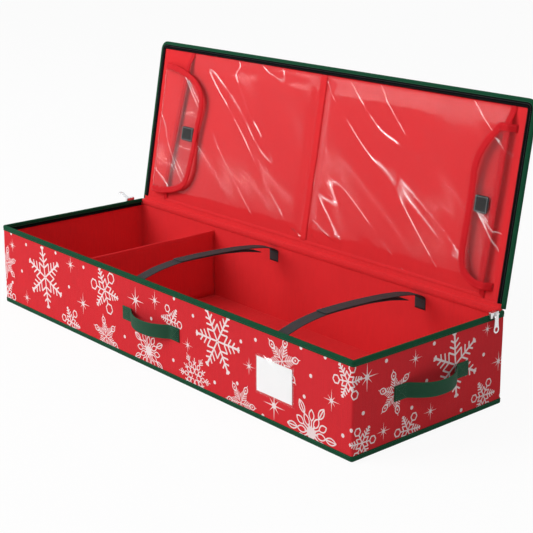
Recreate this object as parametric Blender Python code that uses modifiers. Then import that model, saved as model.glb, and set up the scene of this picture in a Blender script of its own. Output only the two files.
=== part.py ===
"""Gift wrap organizer: a stiffened fabric box with a zipped lid, clear lid pockets and webbing handles.

Metres, +Z up. The origin is on the floor, at the centre of the box's underside. The front faces -Y.
The lid is modelled closed, in the frame of its hinge, and the hinge empty turns it to where it leans open.
"""

from math import atan2, cos, radians, sin, tan

import bmesh
import bpy
from mathutils import Vector

# Box
BOX_LENGTH = 1.030
BOX_WIDTH = 0.356
BOX_HEIGHT = 0.165
CORNER_RADIUS = 0.005

# Materials in layers
FIT_GAP = 0.0003
FABRIC = 0.0007
BOARD = 0.0020
BINDING = 0.0007
VINYL = 0.0005
WEBBING = 0.0016
CUT_OVERRUN = 0.010

# Bindings, zip and hinge
BASE_BINDING_RISE = 0.0095
BASE_BINDING_TURN = 0.010
RIM_OUTER_LEG = 0.010
RIM_INNER_LEG = 0.008
RIM_END_INSET = 0.007
BASE_TAPE_HEIGHT = 0.0030
COIL_WIDTH = 0.0022
COIL_RISE = 0.0020
HINGE_LEG = 0.012
SPINE_CLEARANCE = 0.0005
SPINE_TAIL = 0.014
SPINE_SHORT = 0.012
SPINE_STOP_ANGLE = 4.0

# Divider
DIVIDER_FROM_LEFT = 0.261
DIVIDER_DROP = 0.020

# Handles
HANDLE_WEB = 0.026
HANDLE_HEIGHT = 0.0875
FRONT_HANDLE_SPAN = 0.170
FRONT_HANDLE_PATCH = 0.026
FRONT_HANDLE_BOW = 0.021
END_HANDLE_SPAN = 0.174
END_HANDLE_PATCH = 0.028
END_HANDLE_BOW = 0.027
HANDLE_STEPS = 16
BOW_POWER = 2.2

# Label
LABEL_FROM_RIGHT = 0.136
CARD_LENGTH = 0.086
CARD_HEIGHT = 0.060
CARD_THICKNESS = 0.0005
CARD_MID_HEIGHT = 0.081
SLEEVE_LENGTH = 0.094
SLEEVE_HEIGHT = 0.069
SLEEVE_SEAM = 0.0025
SLEEVE_CLOSED_MARGIN = 0.0035
CARD_PLAY = 0.0004

# Straps
STRAP_WIDTH = 0.025
STRAP = 0.0014
STRAP_LEFT_X = -0.062
STRAP_RIGHT_X = 0.330
STRAP_SEWN_DROP = 0.022
STRAP_SEWN_LENGTH = 0.021
STRAP_ARCH = 0.025
STRAP_OVERLAP_STEP = 0.0021
STRAP_STEPS = 5
# Each place along a strap: a share of the way from the inner front wall to the inner back wall,
# and a share of the way from the anchor's top up to the crest
FRONT_STRAP_SHARES = ((0.025, 0.22), (0.07, 0.46), (0.17, 0.80), (0.30, 1.0), (0.45, 0.99), (0.60, 0.90), (0.75, 0.66), (0.87, 0.30))
REAR_STRAP_SHARES = ((0.30, 1.0), (0.45, 0.99), (0.60, 0.92), (0.75, 0.78), (0.87, 0.58), (0.95, 0.32), (0.985, 0.10))

# Lid
LID_SIDE_INSET = 0.003
LID_FRONT_INSET = 0.003
LID_CORNER_RADIUS = 0.018
LID_CLOSED_GAP = 0.0005
LID_BACK_INSET = 0.0005
LID_LEAN = 10.0
LID_BINDING_LEG = 0.0075
LID_TAPE_WIDTH = 0.0055
LID_ZIP_BACK_INSET = 0.008

# Lid pockets
POCKET_RISE = 0.0085
POCKET_BOTTOM = 0.008
POCKET_FLANGE = 0.007
POCKET_SLOPE = 0.022
STRIP_SHIFT = 0.013
STRIP_WIDTH = 0.016
STRIP_FLANGE = 0.0095
HEM_WIDTH = 0.007
MOUTH_LEFT_LOW_MARGIN = 0.073
MOUTH_LEFT_HIGH_MARGIN = 0.111
MOUTH_RIGHT_LOW_MARGIN = 0.0465
MOUTH_RIGHT_HIGH_MARGIN = 0.039
MOUTH_BINDING = 0.012

# Pocket flaps
FLAP_MARGIN = 0.0142
FLAP_FLANGE = 0.0015
FLAP_RAMP = 0.008
FLAP_LEFT_REACH = 0.153
FLAP_RIGHT_REACH = 0.0735
FLAP_BOTTOM = 0.025
FLAP_TOP = 0.306
FLAP_BINDING = 0.0125
FLAP_STEPS = 3
FLAP_ROWS = 6
PATCH_LEFT = 0.038
PATCH_RIGHT = 0.029
PATCH_TALL = 0.030
PATCH_LEFT_INSET = 0.024
PATCH_RIGHT_INSET = 0.015
PATCH_THICKNESS = 0.0010
PATCH_HEIGHT = 0.165
# Each flap's curved edge: a share of its reach and a share of the way from its bottom to its top
FLAP_LEFT_SHARES = (
    (0.26, 0.0),
    (0.54, 0.03),
    (0.73, 0.07),
    (0.84, 0.12),
    (0.895, 0.18),
    (0.925, 0.26),
    (0.935, 0.38),
    (0.945, 0.50),
    (0.96, 0.58),
    (0.985, 0.65),
    (1.0, 0.71),
    (0.99, 0.78),
    (0.93, 0.845),
    (0.79, 0.91),
    (0.60, 0.955),
    (0.39, 0.985),
    (0.24, 1.0),
)
FLAP_RIGHT_SHARES = (
    (0.42, 0.0),
    (0.63, 0.025),
    (0.82, 0.06),
    (0.95, 0.12),
    (1.0, 0.20),
    (1.0, 0.32),
    (1.0, 0.45),
    (1.0, 0.58),
    (0.99, 0.70),
    (0.92, 0.80),
    (0.76, 0.885),
    (0.57, 0.95),
    (0.42, 1.0),
)

# Zip sliders and pull tabs
SLIDER_LENGTH = 0.020
SLIDER_RISE = 0.0060
SLIDER_LIP = 0.0040
SLIDER_OUT = 0.0055
SLIDER_FROM_BACK = 0.033
SLIDER_BEVEL = 0.0008
BAIL_WIRE = 0.0016
BAIL_SPAN = 0.0115
TAB_LENGTH = 0.033
TAB_WIDTH = 0.0070
TAB_THICKNESS = 0.0012
TAB_EYE_WALL = 0.0010
TAB_EYE_PLAY = 0.0015
TAB_HOLE_RADIUS = 0.0018
LEFT_TAB_TILT = 105.0
ARC_STEPS = 6
ROUND_STEPS = 24

COLOURS = {
    "printed_red": ((0.62, 0.035, 0.04), 0.85, 0.0),
    "lining_red": ((0.58, 0.03, 0.035), 0.85, 0.0),
    "binding_green": ((0.02, 0.075, 0.04), 0.8, 0.0),
    "handle_green": ((0.018, 0.07, 0.04), 0.8, 0.0),
    "binding_red": ((0.50, 0.012, 0.016), 0.7, 0.0),
    "zip_black": ((0.012, 0.012, 0.013), 0.75, 0.0),
    "strap_black": ((0.02, 0.02, 0.021), 0.85, 0.0),
    "hook_black": ((0.02, 0.022, 0.022), 0.9, 0.0),
    "board_grey": ((0.35, 0.33, 0.30), 0.9, 0.0),
    "clear_vinyl": ((0.92, 0.93, 0.94), 0.08, 0.0),
    "card_white": ((0.90, 0.90, 0.90), 0.7, 0.0),
    "zip_metal": ((0.75, 0.75, 0.76), 0.25, 1.0),
}

# Offsets of the wall's layers from the outer face of the bindings
WRAP_OFFSET = BINDING + FIT_GAP
BOARD_OFFSET = WRAP_OFFSET + FABRIC + FIT_GAP
LINING_OFFSET = BOARD_OFFSET + BOARD + FIT_GAP
LINING_FACE = LINING_OFFSET + FABRIC
RIM_WIDTH = LINING_FACE + FIT_GAP + BINDING

# Heights of the floor's layers and of the wall's top
FLOOR_BOARD_Z = BINDING + FIT_GAP
FLOOR_LINING_Z = FLOOR_BOARD_Z + BOARD + FIT_GAP
FLOOR_TOP = FLOOR_LINING_Z + FABRIC
WALL_TOP = BOX_HEIGHT - BINDING - FIT_GAP

HALF_LENGTH = BOX_LENGTH / 2
HALF_WIDTH = BOX_WIDTH / 2

# The lid's own frame: origin on the hinge axis, lid closed, -Y to the front, +Z to its outer side
LID_HALF_LENGTH = HALF_LENGTH - LID_SIDE_INSET
LID_DEPTH = BOX_WIDTH - LID_FRONT_INSET
LID_LINING_Z = BINDING + FIT_GAP
LID_BOARD_Z = LID_LINING_Z + FABRIC + FIT_GAP
LID_COVER_Z = LID_BOARD_Z + BOARD + FIT_GAP
LID_THICKNESS = LID_COVER_Z + FABRIC + FIT_GAP + BINDING
LID_TAPE_OFFSET = LID_BINDING_LEG + FIT_GAP
LID_COIL_OFFSET = LID_TAPE_OFFSET + LID_TAPE_WIDTH + FIT_GAP
FLAP_OFFSET = LID_COIL_OFFSET + COIL_WIDTH + FLAP_MARGIN
POCKET_TOP = LID_DEPTH - LID_COIL_OFFSET - COIL_WIDTH - FIT_GAP

# Levels below the lid's lining, all faces that look into the box
SEAM_Z = LID_LINING_Z - FIT_GAP
POCKET_Z = SEAM_Z - POCKET_RISE
POCKET_FACE_Z = POCKET_Z - VINYL
LOOP_FACE_Z = POCKET_FACE_Z - FIT_GAP - PATCH_THICKNESS
HOOK_FACE_Z = LOOP_FACE_Z - FIT_GAP - PATCH_THICKNESS
FLAP_Z = HOOK_FACE_Z - FIT_GAP

parts = bpy.data.collections.new("gift_wrap_organizer")
cutters = bpy.data.collections.new("cutters")


def clear_scene():
    for obj in list(bpy.data.objects):
        bpy.data.objects.remove(obj, do_unlink=True)


def material(name):
    """The Principled material of one finish."""
    found = bpy.data.materials.get(name)
    if found:
        return found
    colour, roughness, metallic = COLOURS[name]
    made = bpy.data.materials.new(name)
    made.use_nodes = True
    shader = made.node_tree.nodes["Principled BSDF"]
    shader.inputs["Base Color"].default_value = (*colour, 1.0)
    shader.inputs["Roughness"].default_value = roughness
    shader.inputs["Metallic"].default_value = metallic
    return made


def finish_object(name, mesh, finish, location=(0, 0, 0), rotation=(0, 0, 0), parent=None):
    obj = bpy.data.objects.new(name, mesh)
    obj.location = location
    obj.rotation_euler = rotation
    obj.parent = parent
    if finish:
        obj.data.materials.append(material(finish))
        parts.objects.link(obj)
    else:
        obj.hide_render = True
        obj.display_type = "WIRE"
        cutters.objects.link(obj)
    return obj


def block(name, low, high, finish, parent=None, bevel=0.0):
    """A box between two corners."""
    low, high = Vector(low), Vector(high)
    mesh = bpy.data.meshes.new(name)
    bm = bmesh.new()
    bmesh.ops.create_cube(bm, size=1)
    bmesh.ops.scale(bm, vec=high - low, verts=bm.verts)
    bm.to_mesh(mesh)
    bm.free()
    obj = finish_object(name, mesh, finish, (low + high) / 2, parent=parent)
    if bevel:
        rounding = obj.modifiers.new("edges", "BEVEL")
        rounding.width = bevel
        rounding.segments = 2
    return obj


def prism(name, outlines, low, high, finish, location=(0, 0, 0), rotation=(0, 0, 0), parent=None):
    """Flat outlines, the second one a hole in the first, drawn out from low to high along their own Z."""
    curve = bpy.data.curves.new(name, "CURVE")
    curve.dimensions = "2D"
    curve.fill_mode = "BOTH"
    curve.extrude = (high - low) / 2
    for outline in outlines:
        spline = curve.splines.new("POLY")
        spline.points.add(len(outline) - 1)
        for point, (x, y) in zip(spline.points, outline):
            point.co = (x, y, 0, 1)
        spline.use_cyclic_u = True
    drawn = bpy.data.objects.new(name + "_outline", curve)
    bpy.context.scene.collection.objects.link(drawn)
    graph = bpy.context.evaluated_depsgraph_get()
    mesh = bpy.data.meshes.new_from_object(drawn.evaluated_get(graph))
    bpy.data.objects.remove(drawn, do_unlink=True)
    bpy.data.curves.remove(curve)
    bm = bmesh.new()
    bm.from_mesh(mesh)
    bmesh.ops.remove_doubles(bm, verts=bm.verts, dist=FIT_GAP / 100)
    bmesh.ops.translate(bm, vec=(0, 0, (low + high) / 2), verts=bm.verts)
    bmesh.ops.recalc_face_normals(bm, faces=bm.faces)
    bm.to_mesh(mesh)
    bm.free()
    mesh.name = name
    return finish_object(name, mesh, finish, location, rotation, parent)


def sheet(name, columns, rows, place, thickness, finish, parent=None):
    """A grid of columns by rows whose corner (i, j) is at place(i, j), thickened on its -Z side."""
    mesh = bpy.data.meshes.new(name)
    bm = bmesh.new()
    bmesh.ops.create_grid(bm, x_segments=columns, y_segments=rows, size=1)
    for vert in bm.verts:
        vert.co = place(round((vert.co.x + 1) / 2 * columns), round((vert.co.y + 1) / 2 * rows))
    bm.to_mesh(mesh)
    bm.free()
    obj = finish_object(name, mesh, finish, parent=parent)
    wall = obj.modifiers.new("thickness", "SOLIDIFY")
    wall.thickness = thickness
    wall.offset = -1
    wall.use_even_offset = True
    return obj


def cut(obj, cutter, operation="DIFFERENCE"):
    boolean = obj.modifiers.new(operation.lower(), "BOOLEAN")
    boolean.operation = operation
    boolean.object = cutter


def empty(name, location, rotation=(0, 0, 0), parent=None):
    obj = bpy.data.objects.new(name, None)
    obj.location = location
    obj.rotation_euler = rotation
    obj.parent = parent
    parts.objects.link(obj)
    return obj


def arc(centre_x, centre_y, radius, start, end, steps=ARC_STEPS):
    """Points along an arc, angles in degrees. A radius of zero gives its centre once."""
    if radius <= 0:
        return [(centre_x, centre_y)]
    angles = [radians(start + (end - start) * i / steps) for i in range(steps + 1)]
    return [(centre_x + radius * cos(a), centre_y + radius * sin(a)) for a in angles]


def round_corners(half_x, half_y, radius):
    """A rectangle about the origin with rounded corners, anticlockwise."""
    x, y = half_x - max(radius, 0), half_y - max(radius, 0)
    return arc(x, y, radius, 0, 90) + arc(-x, y, radius, 90, 180) + arc(-x, -y, radius, 180, 270) + arc(x, -y, radius, 270, 360)


def wall_outline(offset):
    """The box's plan, offset inwards from the outer face of its bindings."""
    return round_corners(HALF_LENGTH - offset, HALF_WIDTH - offset, CORNER_RADIUS - offset)


def open_plan(half_x, front_y, back_y, radius):
    """A path down the left side, along the front and up the right side."""
    x, y = half_x - max(radius, 0), front_y + max(radius, 0)
    return [(-half_x, back_y)] + arc(-x, y, radius, 180, 270) + arc(x, y, radius, 270, 360) + [(half_x, back_y)]


def rim_band(outer, inner):
    """The band between two offsets along the rim's left, front and right."""
    back = HALF_WIDTH - RIM_END_INSET

    def path(offset):
        return open_plan(HALF_LENGTH - offset, offset - HALF_WIDTH, back, CORNER_RADIUS - offset)

    return path(outer) + path(inner)[::-1]


def lid_band(outer, inner, back):
    """The band between two offsets along the lid's left, front and right, in the lid's frame."""

    def path(offset):
        return open_plan(LID_HALF_LENGTH - offset, offset - LID_DEPTH, -back, LID_CORNER_RADIUS - offset)

    return path(outer) + path(inner)[::-1]


def lid_outline(offset):
    return open_plan(LID_HALF_LENGTH - offset, offset - LID_DEPTH, -LID_BACK_INSET, LID_CORNER_RADIUS - offset)


def smooth(points, steps):
    """A Catmull-Rom curve through the points."""
    points = [Vector(p) for p in points]
    ends = [points[0] * 2 - points[1]] + points + [points[-1] * 2 - points[-2]]
    found = []
    for a, b, c, d in zip(ends, ends[1:], ends[2:], ends[3:]):
        for i in range(steps):
            t = i / steps
            found.append((b * 2 + (c - a) * t + (a * 2 - b * 5 + c * 4 - d) * t**2 + (b * 3 - a - c * 3 + d) * t**3) / 2)
    return found + [points[-1]]


def ribbon(points, thickness):
    """The outline of a strap of this thickness along a flat path."""
    points = [Vector(p) for p in points]
    left, right = [], []
    for i, point in enumerate(points):
        along = points[min(i + 1, len(points) - 1)] - points[max(i - 1, 0)]
        side = Vector((-along.y, along.x)).normalized() * thickness / 2
        left.append(tuple(point + side))
        right.append(tuple(point - side))
    return left + right[::-1]


def make_walls():
    """Stiffeners between the printed outer fabric and the lining."""
    prism("outer_wrap", [wall_outline(WRAP_OFFSET), wall_outline(WRAP_OFFSET + FABRIC)], FLOOR_BOARD_Z, WALL_TOP, "printed_red")
    prism("wall_lining", [wall_outline(LINING_OFFSET), wall_outline(LINING_FACE)], FLOOR_LINING_Z, WALL_TOP, "lining_red")
    fold_x, fold_y = HALF_LENGTH - CORNER_RADIUS, HALF_WIDTH - CORNER_RADIUS
    outer_y, outer_x = HALF_WIDTH - BOARD_OFFSET, HALF_LENGTH - BOARD_OFFSET
    low, high = FLOOR_LINING_Z, WALL_TOP
    block("front_board", (-fold_x, -outer_y, low), (fold_x, BOARD - outer_y, high), "board_grey")
    block("back_board", (-fold_x, outer_y - BOARD, low), (fold_x, outer_y, high), "board_grey")
    block("left_board", (-outer_x, -fold_y, low), (BOARD - outer_x, fold_y, high), "board_grey")
    block("right_board", (outer_x - BOARD, -fold_y, low), (outer_x, fold_y, high), "board_grey")


def make_floor():
    inset = BASE_BINDING_TURN + FIT_GAP
    block("base_cover", (inset - HALF_LENGTH, inset - HALF_WIDTH, 0), (HALF_LENGTH - inset, HALF_WIDTH - inset, FABRIC), "printed_red")
    prism("bottom_board", [wall_outline(BOARD_OFFSET)], FLOOR_BOARD_Z, FLOOR_BOARD_Z + BOARD, "board_grey")
    inside = LINING_FACE + FIT_GAP
    prism("bottom_lining", [wall_outline(inside)], FLOOR_LINING_Z, FLOOR_TOP, "lining_red")


def make_bindings():
    base = prism("base_binding", [wall_outline(0), wall_outline(BASE_BINDING_TURN)], 0, BASE_BINDING_RISE, "binding_green")
    hollow = prism("base_binding_hollow", [wall_outline(BINDING)], BINDING, BASE_BINDING_RISE + CUT_OVERRUN, None)
    cut(base, hollow)
    rim = prism("rim_binding", [rim_band(0, RIM_WIDTH)], BOX_HEIGHT - RIM_OUTER_LEG, BOX_HEIGHT, "binding_green")
    inner_leg = RIM_WIDTH - BINDING
    low = BOX_HEIGHT - RIM_OUTER_LEG - CUT_OVERRUN
    slot = prism("rim_slot", [long_band(BINDING, inner_leg)], low, BOX_HEIGHT - BINDING, None)
    trim = prism("rim_inner_trim", [long_band(inner_leg - FIT_GAP, RIM_WIDTH + CUT_OVERRUN)], low, BOX_HEIGHT - RIM_INNER_LEG, None)
    cut(rim, slot)
    cut(rim, trim)


def long_band(outer, inner):
    """As rim_band, run on past the binding's ends so that it cuts them through."""
    back = HALF_WIDTH + CUT_OVERRUN

    def path(offset):
        return open_plan(HALF_LENGTH - offset, offset - HALF_WIDTH, back, CORNER_RADIUS - offset)

    return path(outer) + path(inner)[::-1]


def make_base_zip():
    """The base's half of the zip, folded down inside the rim."""
    top = BOX_HEIGHT - RIM_INNER_LEG - FIT_GAP
    low = top - BASE_TAPE_HEIGHT
    prism("base_zip_tape", [rim_band(LINING_FACE + FIT_GAP, RIM_WIDTH)], low, top, "zip_black")
    coil_top = low - FIT_GAP
    coil = rim_band(LINING_FACE + FIT_GAP, LINING_FACE + FIT_GAP + COIL_RISE)
    prism("base_zip_coil", [coil], coil_top - COIL_WIDTH, coil_top, "zip_black")


def make_hinge_cloth():
    """The cloth that joins the back wall to the lid: a cap on the wall's top, and a spine behind it."""
    across = (radians(90), 0, radians(90))
    inner_y = HALF_WIDTH - RIM_WIDTH
    step_y = HALF_WIDTH - LINING_FACE - FIT_GAP
    half = HALF_LENGTH - RIM_WIDTH - FIT_GAP
    cap = [
        (HALF_WIDTH, BOX_HEIGHT),
        (inner_y, BOX_HEIGHT),
        (inner_y, BOX_HEIGHT - HINGE_LEG),
        (step_y, BOX_HEIGHT - HINGE_LEG),
        (step_y, BOX_HEIGHT - BINDING),
        (HALF_WIDTH, BOX_HEIGHT - BINDING),
    ]
    prism("hinge_lining", [cap], -half, half, "lining_red", rotation=across)
    axis_z = BOX_HEIGHT + LID_CLOSED_GAP
    inner = LID_THICKNESS + LID_BACK_INSET / 2 + SPINE_CLEARANCE / 2
    outer = inner + FABRIC
    tail_z = axis_z - outer - SPINE_TAIL
    spine = (
        [(HALF_WIDTH - FABRIC, tail_z), (HALF_WIDTH, tail_z), (HALF_WIDTH, axis_z - outer)]
        + arc(HALF_WIDTH, axis_z, outer, -90, -SPINE_STOP_ANGLE)[1:]
        + arc(HALF_WIDTH, axis_z, inner, -SPINE_STOP_ANGLE, -90)
        + [(HALF_WIDTH - FABRIC, axis_z - inner)]
    )
    prism("hinge_spine", [spine], SPINE_SHORT - HALF_LENGTH, HALF_LENGTH - SPINE_SHORT, "printed_red", rotation=across)


def make_divider():
    """A board in a folded fabric cover, sewn in between the front and back walls."""
    middle = DIVIDER_FROM_LEFT - HALF_LENGTH
    board_half = BOARD / 2
    cover_in = board_half + FIT_GAP
    cover_out = cover_in + FABRIC
    low = FLOOR_TOP + FIT_GAP
    end = HALF_WIDTH - LINING_FACE - FIT_GAP
    top = BOX_HEIGHT - DIVIDER_DROP
    under = top - FABRIC
    block("divider_board", (middle - board_half, -end, low), (middle + board_half, end, under - FIT_GAP), "board_grey")
    fold = [
        (middle + cover_out, low),
        (middle + cover_out, top),
        (middle - cover_out, top),
        (middle - cover_out, low),
        (middle - cover_in, low),
        (middle - cover_in, under),
        (middle + cover_in, under),
        (middle + cover_in, low),
    ]
    prism("divider_cover", [fold], -end, end, "lining_red", rotation=(radians(90), 0, 0))


def handle(name, span, patch, bow, location, turn):
    """Webbing with a flat patch at each end and a loop that bows out between them."""
    seat = FIT_GAP + WEBBING / 2
    half_loop = span / 2 - patch
    path = [(-span / 2, -seat), (-half_loop, -seat)]
    for i in range(1, HANDLE_STEPS):
        x = -half_loop + 2 * half_loop * i / HANDLE_STEPS
        path.append((x, -seat - bow * (1 - abs(x / half_loop) ** BOW_POWER)))
    path += [(half_loop, -seat), (span / 2, -seat)]
    outline = ribbon(path, WEBBING)
    low = HANDLE_HEIGHT - HANDLE_WEB / 2
    prism(name, [outline], low, low + HANDLE_WEB, "handle_green", location, (0, 0, turn))


def make_handles():
    face_x, face_y = HALF_LENGTH - WRAP_OFFSET, HALF_WIDTH - WRAP_OFFSET
    handle("front_handle", FRONT_HANDLE_SPAN, FRONT_HANDLE_PATCH, FRONT_HANDLE_BOW, (0, -face_y, 0), 0)
    handle("right_handle", END_HANDLE_SPAN, END_HANDLE_PATCH, END_HANDLE_BOW, (face_x, 0, 0), radians(90))
    handle("left_handle", END_HANDLE_SPAN, END_HANDLE_PATCH, END_HANDLE_BOW, (-face_x, 0, 0), radians(-90))


def make_label():
    """A clear sleeve sewn on three sides, open to the right, and the card in it."""
    face = -(HALF_WIDTH - WRAP_OFFSET) - FIT_GAP
    card_x = HALF_LENGTH - LABEL_FROM_RIGHT - CARD_LENGTH
    depth = CARD_THICKNESS + 2 * CARD_PLAY
    left = card_x - SLEEVE_CLOSED_MARGIN
    right = left + SLEEVE_LENGTH
    low, high = CARD_MID_HEIGHT - SLEEVE_HEIGHT / 2, CARD_MID_HEIGHT + SLEEVE_HEIGHT / 2
    sleeve = block("label_sleeve", (left, face - depth - VINYL, low), (right, face, high), "clear_vinyl")
    room = block(
        "label_sleeve_room",
        (left + SLEEVE_SEAM, face - depth, low + SLEEVE_SEAM),
        (right + CUT_OVERRUN, face + CUT_OVERRUN, high - SLEEVE_SEAM),
        None,
    )
    cut(sleeve, room)
    card_y = face - CARD_PLAY
    card_low = CARD_MID_HEIGHT - CARD_HEIGHT / 2
    run = empty("label_card_slide", (card_x, card_y, card_low))
    block("label_card", (0, -CARD_THICKNESS, 0), (CARD_LENGTH, 0, CARD_HEIGHT), "card_white", run)


def strap_place(side_share, rise_share):
    inner = HALF_WIDTH - LINING_FACE
    y = -inner + 2 * inner * side_share
    return (y, BOX_HEIGHT - STRAP_SEWN_DROP + STRAP_ARCH * rise_share)


def make_straps():
    """Each strap in two halves. The rear half lies on the front one, and its end shows on top."""
    across = (radians(90), 0, radians(90))
    seat = HALF_WIDTH - LINING_FACE - FIT_GAP - STRAP / 2
    sewn_top = BOX_HEIGHT - STRAP_SEWN_DROP
    sewn_low = sewn_top - STRAP_SEWN_LENGTH
    front = [(-seat, sewn_top)] + [strap_place(*s) for s in FRONT_STRAP_SHARES]
    front = [(-seat, sewn_low)] + smooth(front, STRAP_STEPS)
    rear = [(y, z + STRAP_OVERLAP_STEP) for y, z in (strap_place(*s) for s in REAR_STRAP_SHARES)]
    rear = smooth(rear + [(seat, sewn_top)], STRAP_STEPS) + [(seat, sewn_low)]
    halves = {"front": ribbon(front, STRAP), "rear": ribbon(rear, STRAP)}
    for side, middle in (("left", STRAP_LEFT_X), ("right", STRAP_RIGHT_X)):
        for end, outline in halves.items():
            low, high = middle - STRAP_WIDTH / 2, middle + STRAP_WIDTH / 2
            prism(f"strap_{side}_{end}", [outline], low, high, "strap_black", rotation=across)


def make_lid_shell(hinge):
    """Cover, board and lining, with the green binding folded round three edges."""
    prism("lid_lining", [lid_outline(WRAP_OFFSET)], LID_LINING_Z, LID_LINING_Z + FABRIC, "lining_red", parent=hinge)
    prism("lid_board", [lid_outline(BOARD_OFFSET)], LID_BOARD_Z, LID_BOARD_Z + BOARD, "board_grey", parent=hinge)
    prism("lid_cover", [lid_outline(WRAP_OFFSET)], LID_COVER_Z, LID_COVER_Z + FABRIC, "printed_red", parent=hinge)
    binding = prism("lid_binding", [lid_band(0, LID_BINDING_LEG, LID_BACK_INSET)], 0, LID_THICKNESS, "binding_green", parent=hinge)
    slot_band = lid_band(BINDING, LID_BINDING_LEG + CUT_OVERRUN, -CUT_OVERRUN)
    slot = prism("lid_binding_slot", [slot_band], BINDING, LID_THICKNESS - BINDING, None, parent=hinge)
    cut(binding, slot)


def make_lid_zip(hinge):
    """The lid's half of the zip, folded flat inside the binding."""
    tape = lid_band(LID_TAPE_OFFSET, LID_TAPE_OFFSET + LID_TAPE_WIDTH, LID_ZIP_BACK_INSET)
    prism("lid_zip_tape", [tape], 0, BINDING, "zip_black", parent=hinge)
    coil = lid_band(LID_COIL_OFFSET, LID_COIL_OFFSET + COIL_WIDTH, LID_ZIP_BACK_INSET)
    prism("lid_zip_coil", [coil], BINDING - COIL_RISE, BINDING, "zip_black", parent=hinge)


def pocket_level(share_rows, j, drop=0.0):
    """Height of row j of a pocket: its first and last two rows lie on the lining."""
    return (SEAM_Z if j in (0, 1, share_rows - 1, share_rows) else POCKET_Z) - drop


def pocket_rows():
    low, high = POCKET_BOTTOM, POCKET_TOP
    inner_low, inner_high = low + POCKET_FLANGE, high - POCKET_FLANGE
    return (low, inner_low, inner_low + POCKET_SLOPE, inner_high - POCKET_SLOPE, inner_high, high)


def pocket(name, mouth, seam, hinge):
    """A clear sheet, sewn down at its top, bottom and inner side and standing proud at its mouth."""
    inwards = 1 if mouth(0) > seam else -1
    reach = seam + inwards * (STRIP_FLANGE + POCKET_SLOPE)
    columns = [seam, seam + inwards * STRIP_FLANGE, reach, None]
    if inwards < 0:
        columns.reverse()
    rows = [-s for s in pocket_rows()][::-1]

    def place(i, j):
        if columns[i] is None:
            return (mouth(rows[j]), rows[j], pocket_level(len(rows) - 1, j))
        sewn = abs(columns[i] - seam) < STRIP_FLANGE + FIT_GAP
        return (columns[i], rows[j], SEAM_Z if sewn else pocket_level(len(rows) - 1, j))

    sheet(name, len(columns) - 1, len(rows) - 1, place, VINYL, "clear_vinyl", hinge)


def mouth_binding(name, mouth, inset, hinge):
    """Binding over a pocket's mouth, on the side that looks into the box."""
    rows = [-s for s in pocket_rows()][::-1]

    def place(i, j):
        x = mouth(rows[j]) + inset + i * MOUTH_BINDING
        return (x, rows[j], pocket_level(len(rows) - 1, j, VINYL + FIT_GAP))

    hem_clear = POCKET_BOTTOM + HEM_WIDTH + FIT_GAP
    band = sheet(name, 1, len(rows) - 1, place, BINDING, "binding_red", hinge)
    low = (-LID_HALF_LENGTH, -hem_clear, -LID_DEPTH)
    high = (LID_HALF_LENGTH, CUT_OVERRUN, LID_DEPTH)
    cut(band, block(name + "_end", low, high, None, hinge))


def mouth_margin(y, low, high):
    """The mouths lean: how far from the lid's side a mouth runs at this place across the lid."""
    return low + (high - low) * (-y - POCKET_BOTTOM) / (POCKET_TOP - POCKET_BOTTOM)


def left_mouth(y):
    return mouth_margin(y, MOUTH_LEFT_LOW_MARGIN, MOUTH_LEFT_HIGH_MARGIN) - LID_HALF_LENGTH


def right_mouth(y):
    return LID_HALF_LENGTH - mouth_margin(y, MOUTH_RIGHT_LOW_MARGIN, MOUTH_RIGHT_HIGH_MARGIN)


def make_pockets(hinge):
    pocket("pocket_left", left_mouth, STRIP_SHIFT - FIT_GAP / 2, hinge)
    pocket("pocket_right", right_mouth, STRIP_SHIFT + FIT_GAP / 2, hinge)
    mouth_binding("mouth_binding_left", left_mouth, 0, hinge)
    mouth_binding("mouth_binding_right", right_mouth, -MOUTH_BINDING, hinge)
    high = SEAM_Z - VINYL - FIT_GAP
    low = high - BINDING
    hem_top = -(POCKET_BOTTOM + HEM_WIDTH)
    left, right = left_mouth(-POCKET_BOTTOM), right_mouth(-POCKET_BOTTOM)
    block("pocket_hem", (left, hem_top, low), (right, -POCKET_BOTTOM, high), "lining_red", hinge)
    strip_low, strip_high = STRIP_SHIFT - STRIP_WIDTH / 2, STRIP_SHIFT + STRIP_WIDTH / 2
    block("pocket_strip", (strip_low, -POCKET_TOP, low), (strip_high, hem_top - FIT_GAP, high), "lining_red", hinge)


def flap_bends(drop=0.0):
    """Where a flap's section bends, by distance from the hinge, for its outer side or a layer below it."""
    slope = atan2(SEAM_Z - FLAP_Z, FLAP_RAMP)
    shift = drop * tan(slope / 2)
    return (0, FLAP_FLANGE - shift, FLAP_FLANGE + FLAP_RAMP - shift)


def flap_level(from_hinge, drop=0.0):
    """Height of a flap: flat on the lining by its hinge, then up a ramp and over the pocket."""
    _, start, end = flap_bends(drop)
    climbed = min(max((from_hinge - start) / (end - start), 0), 1)
    return SEAM_Z + (FLAP_Z - SEAM_Z) * climbed - drop


def flap_edge(reach, shares):
    """The flap's curved edge from its bottom to its top, as (distance from the hinge, place along it)."""
    height = FLAP_TOP - FLAP_BOTTOM
    return smooth([(reach * out, FLAP_BOTTOM + height * along) for out, along in shares], FLAP_STEPS)


def flap(side, edge, inwards, pivot):
    """A clear flap sewn along the lid's side, with a curved free edge."""
    bends = flap_bends()
    last = len(bends) - 1

    def place(i, j):
        out, along = edge[-1 - j] if inwards > 0 else edge[j]
        out_here = bends[i] if i <= last else bends[-1] + (out - bends[-1]) * (i - last) / (FLAP_ROWS - last)
        return (inwards * out_here, -along, flap_level(out_here) - pivot.location.z)

    sheet(f"flap_{side}", FLAP_ROWS, len(edge) - 1, place, VINYL, "clear_vinyl", pivot)


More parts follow.
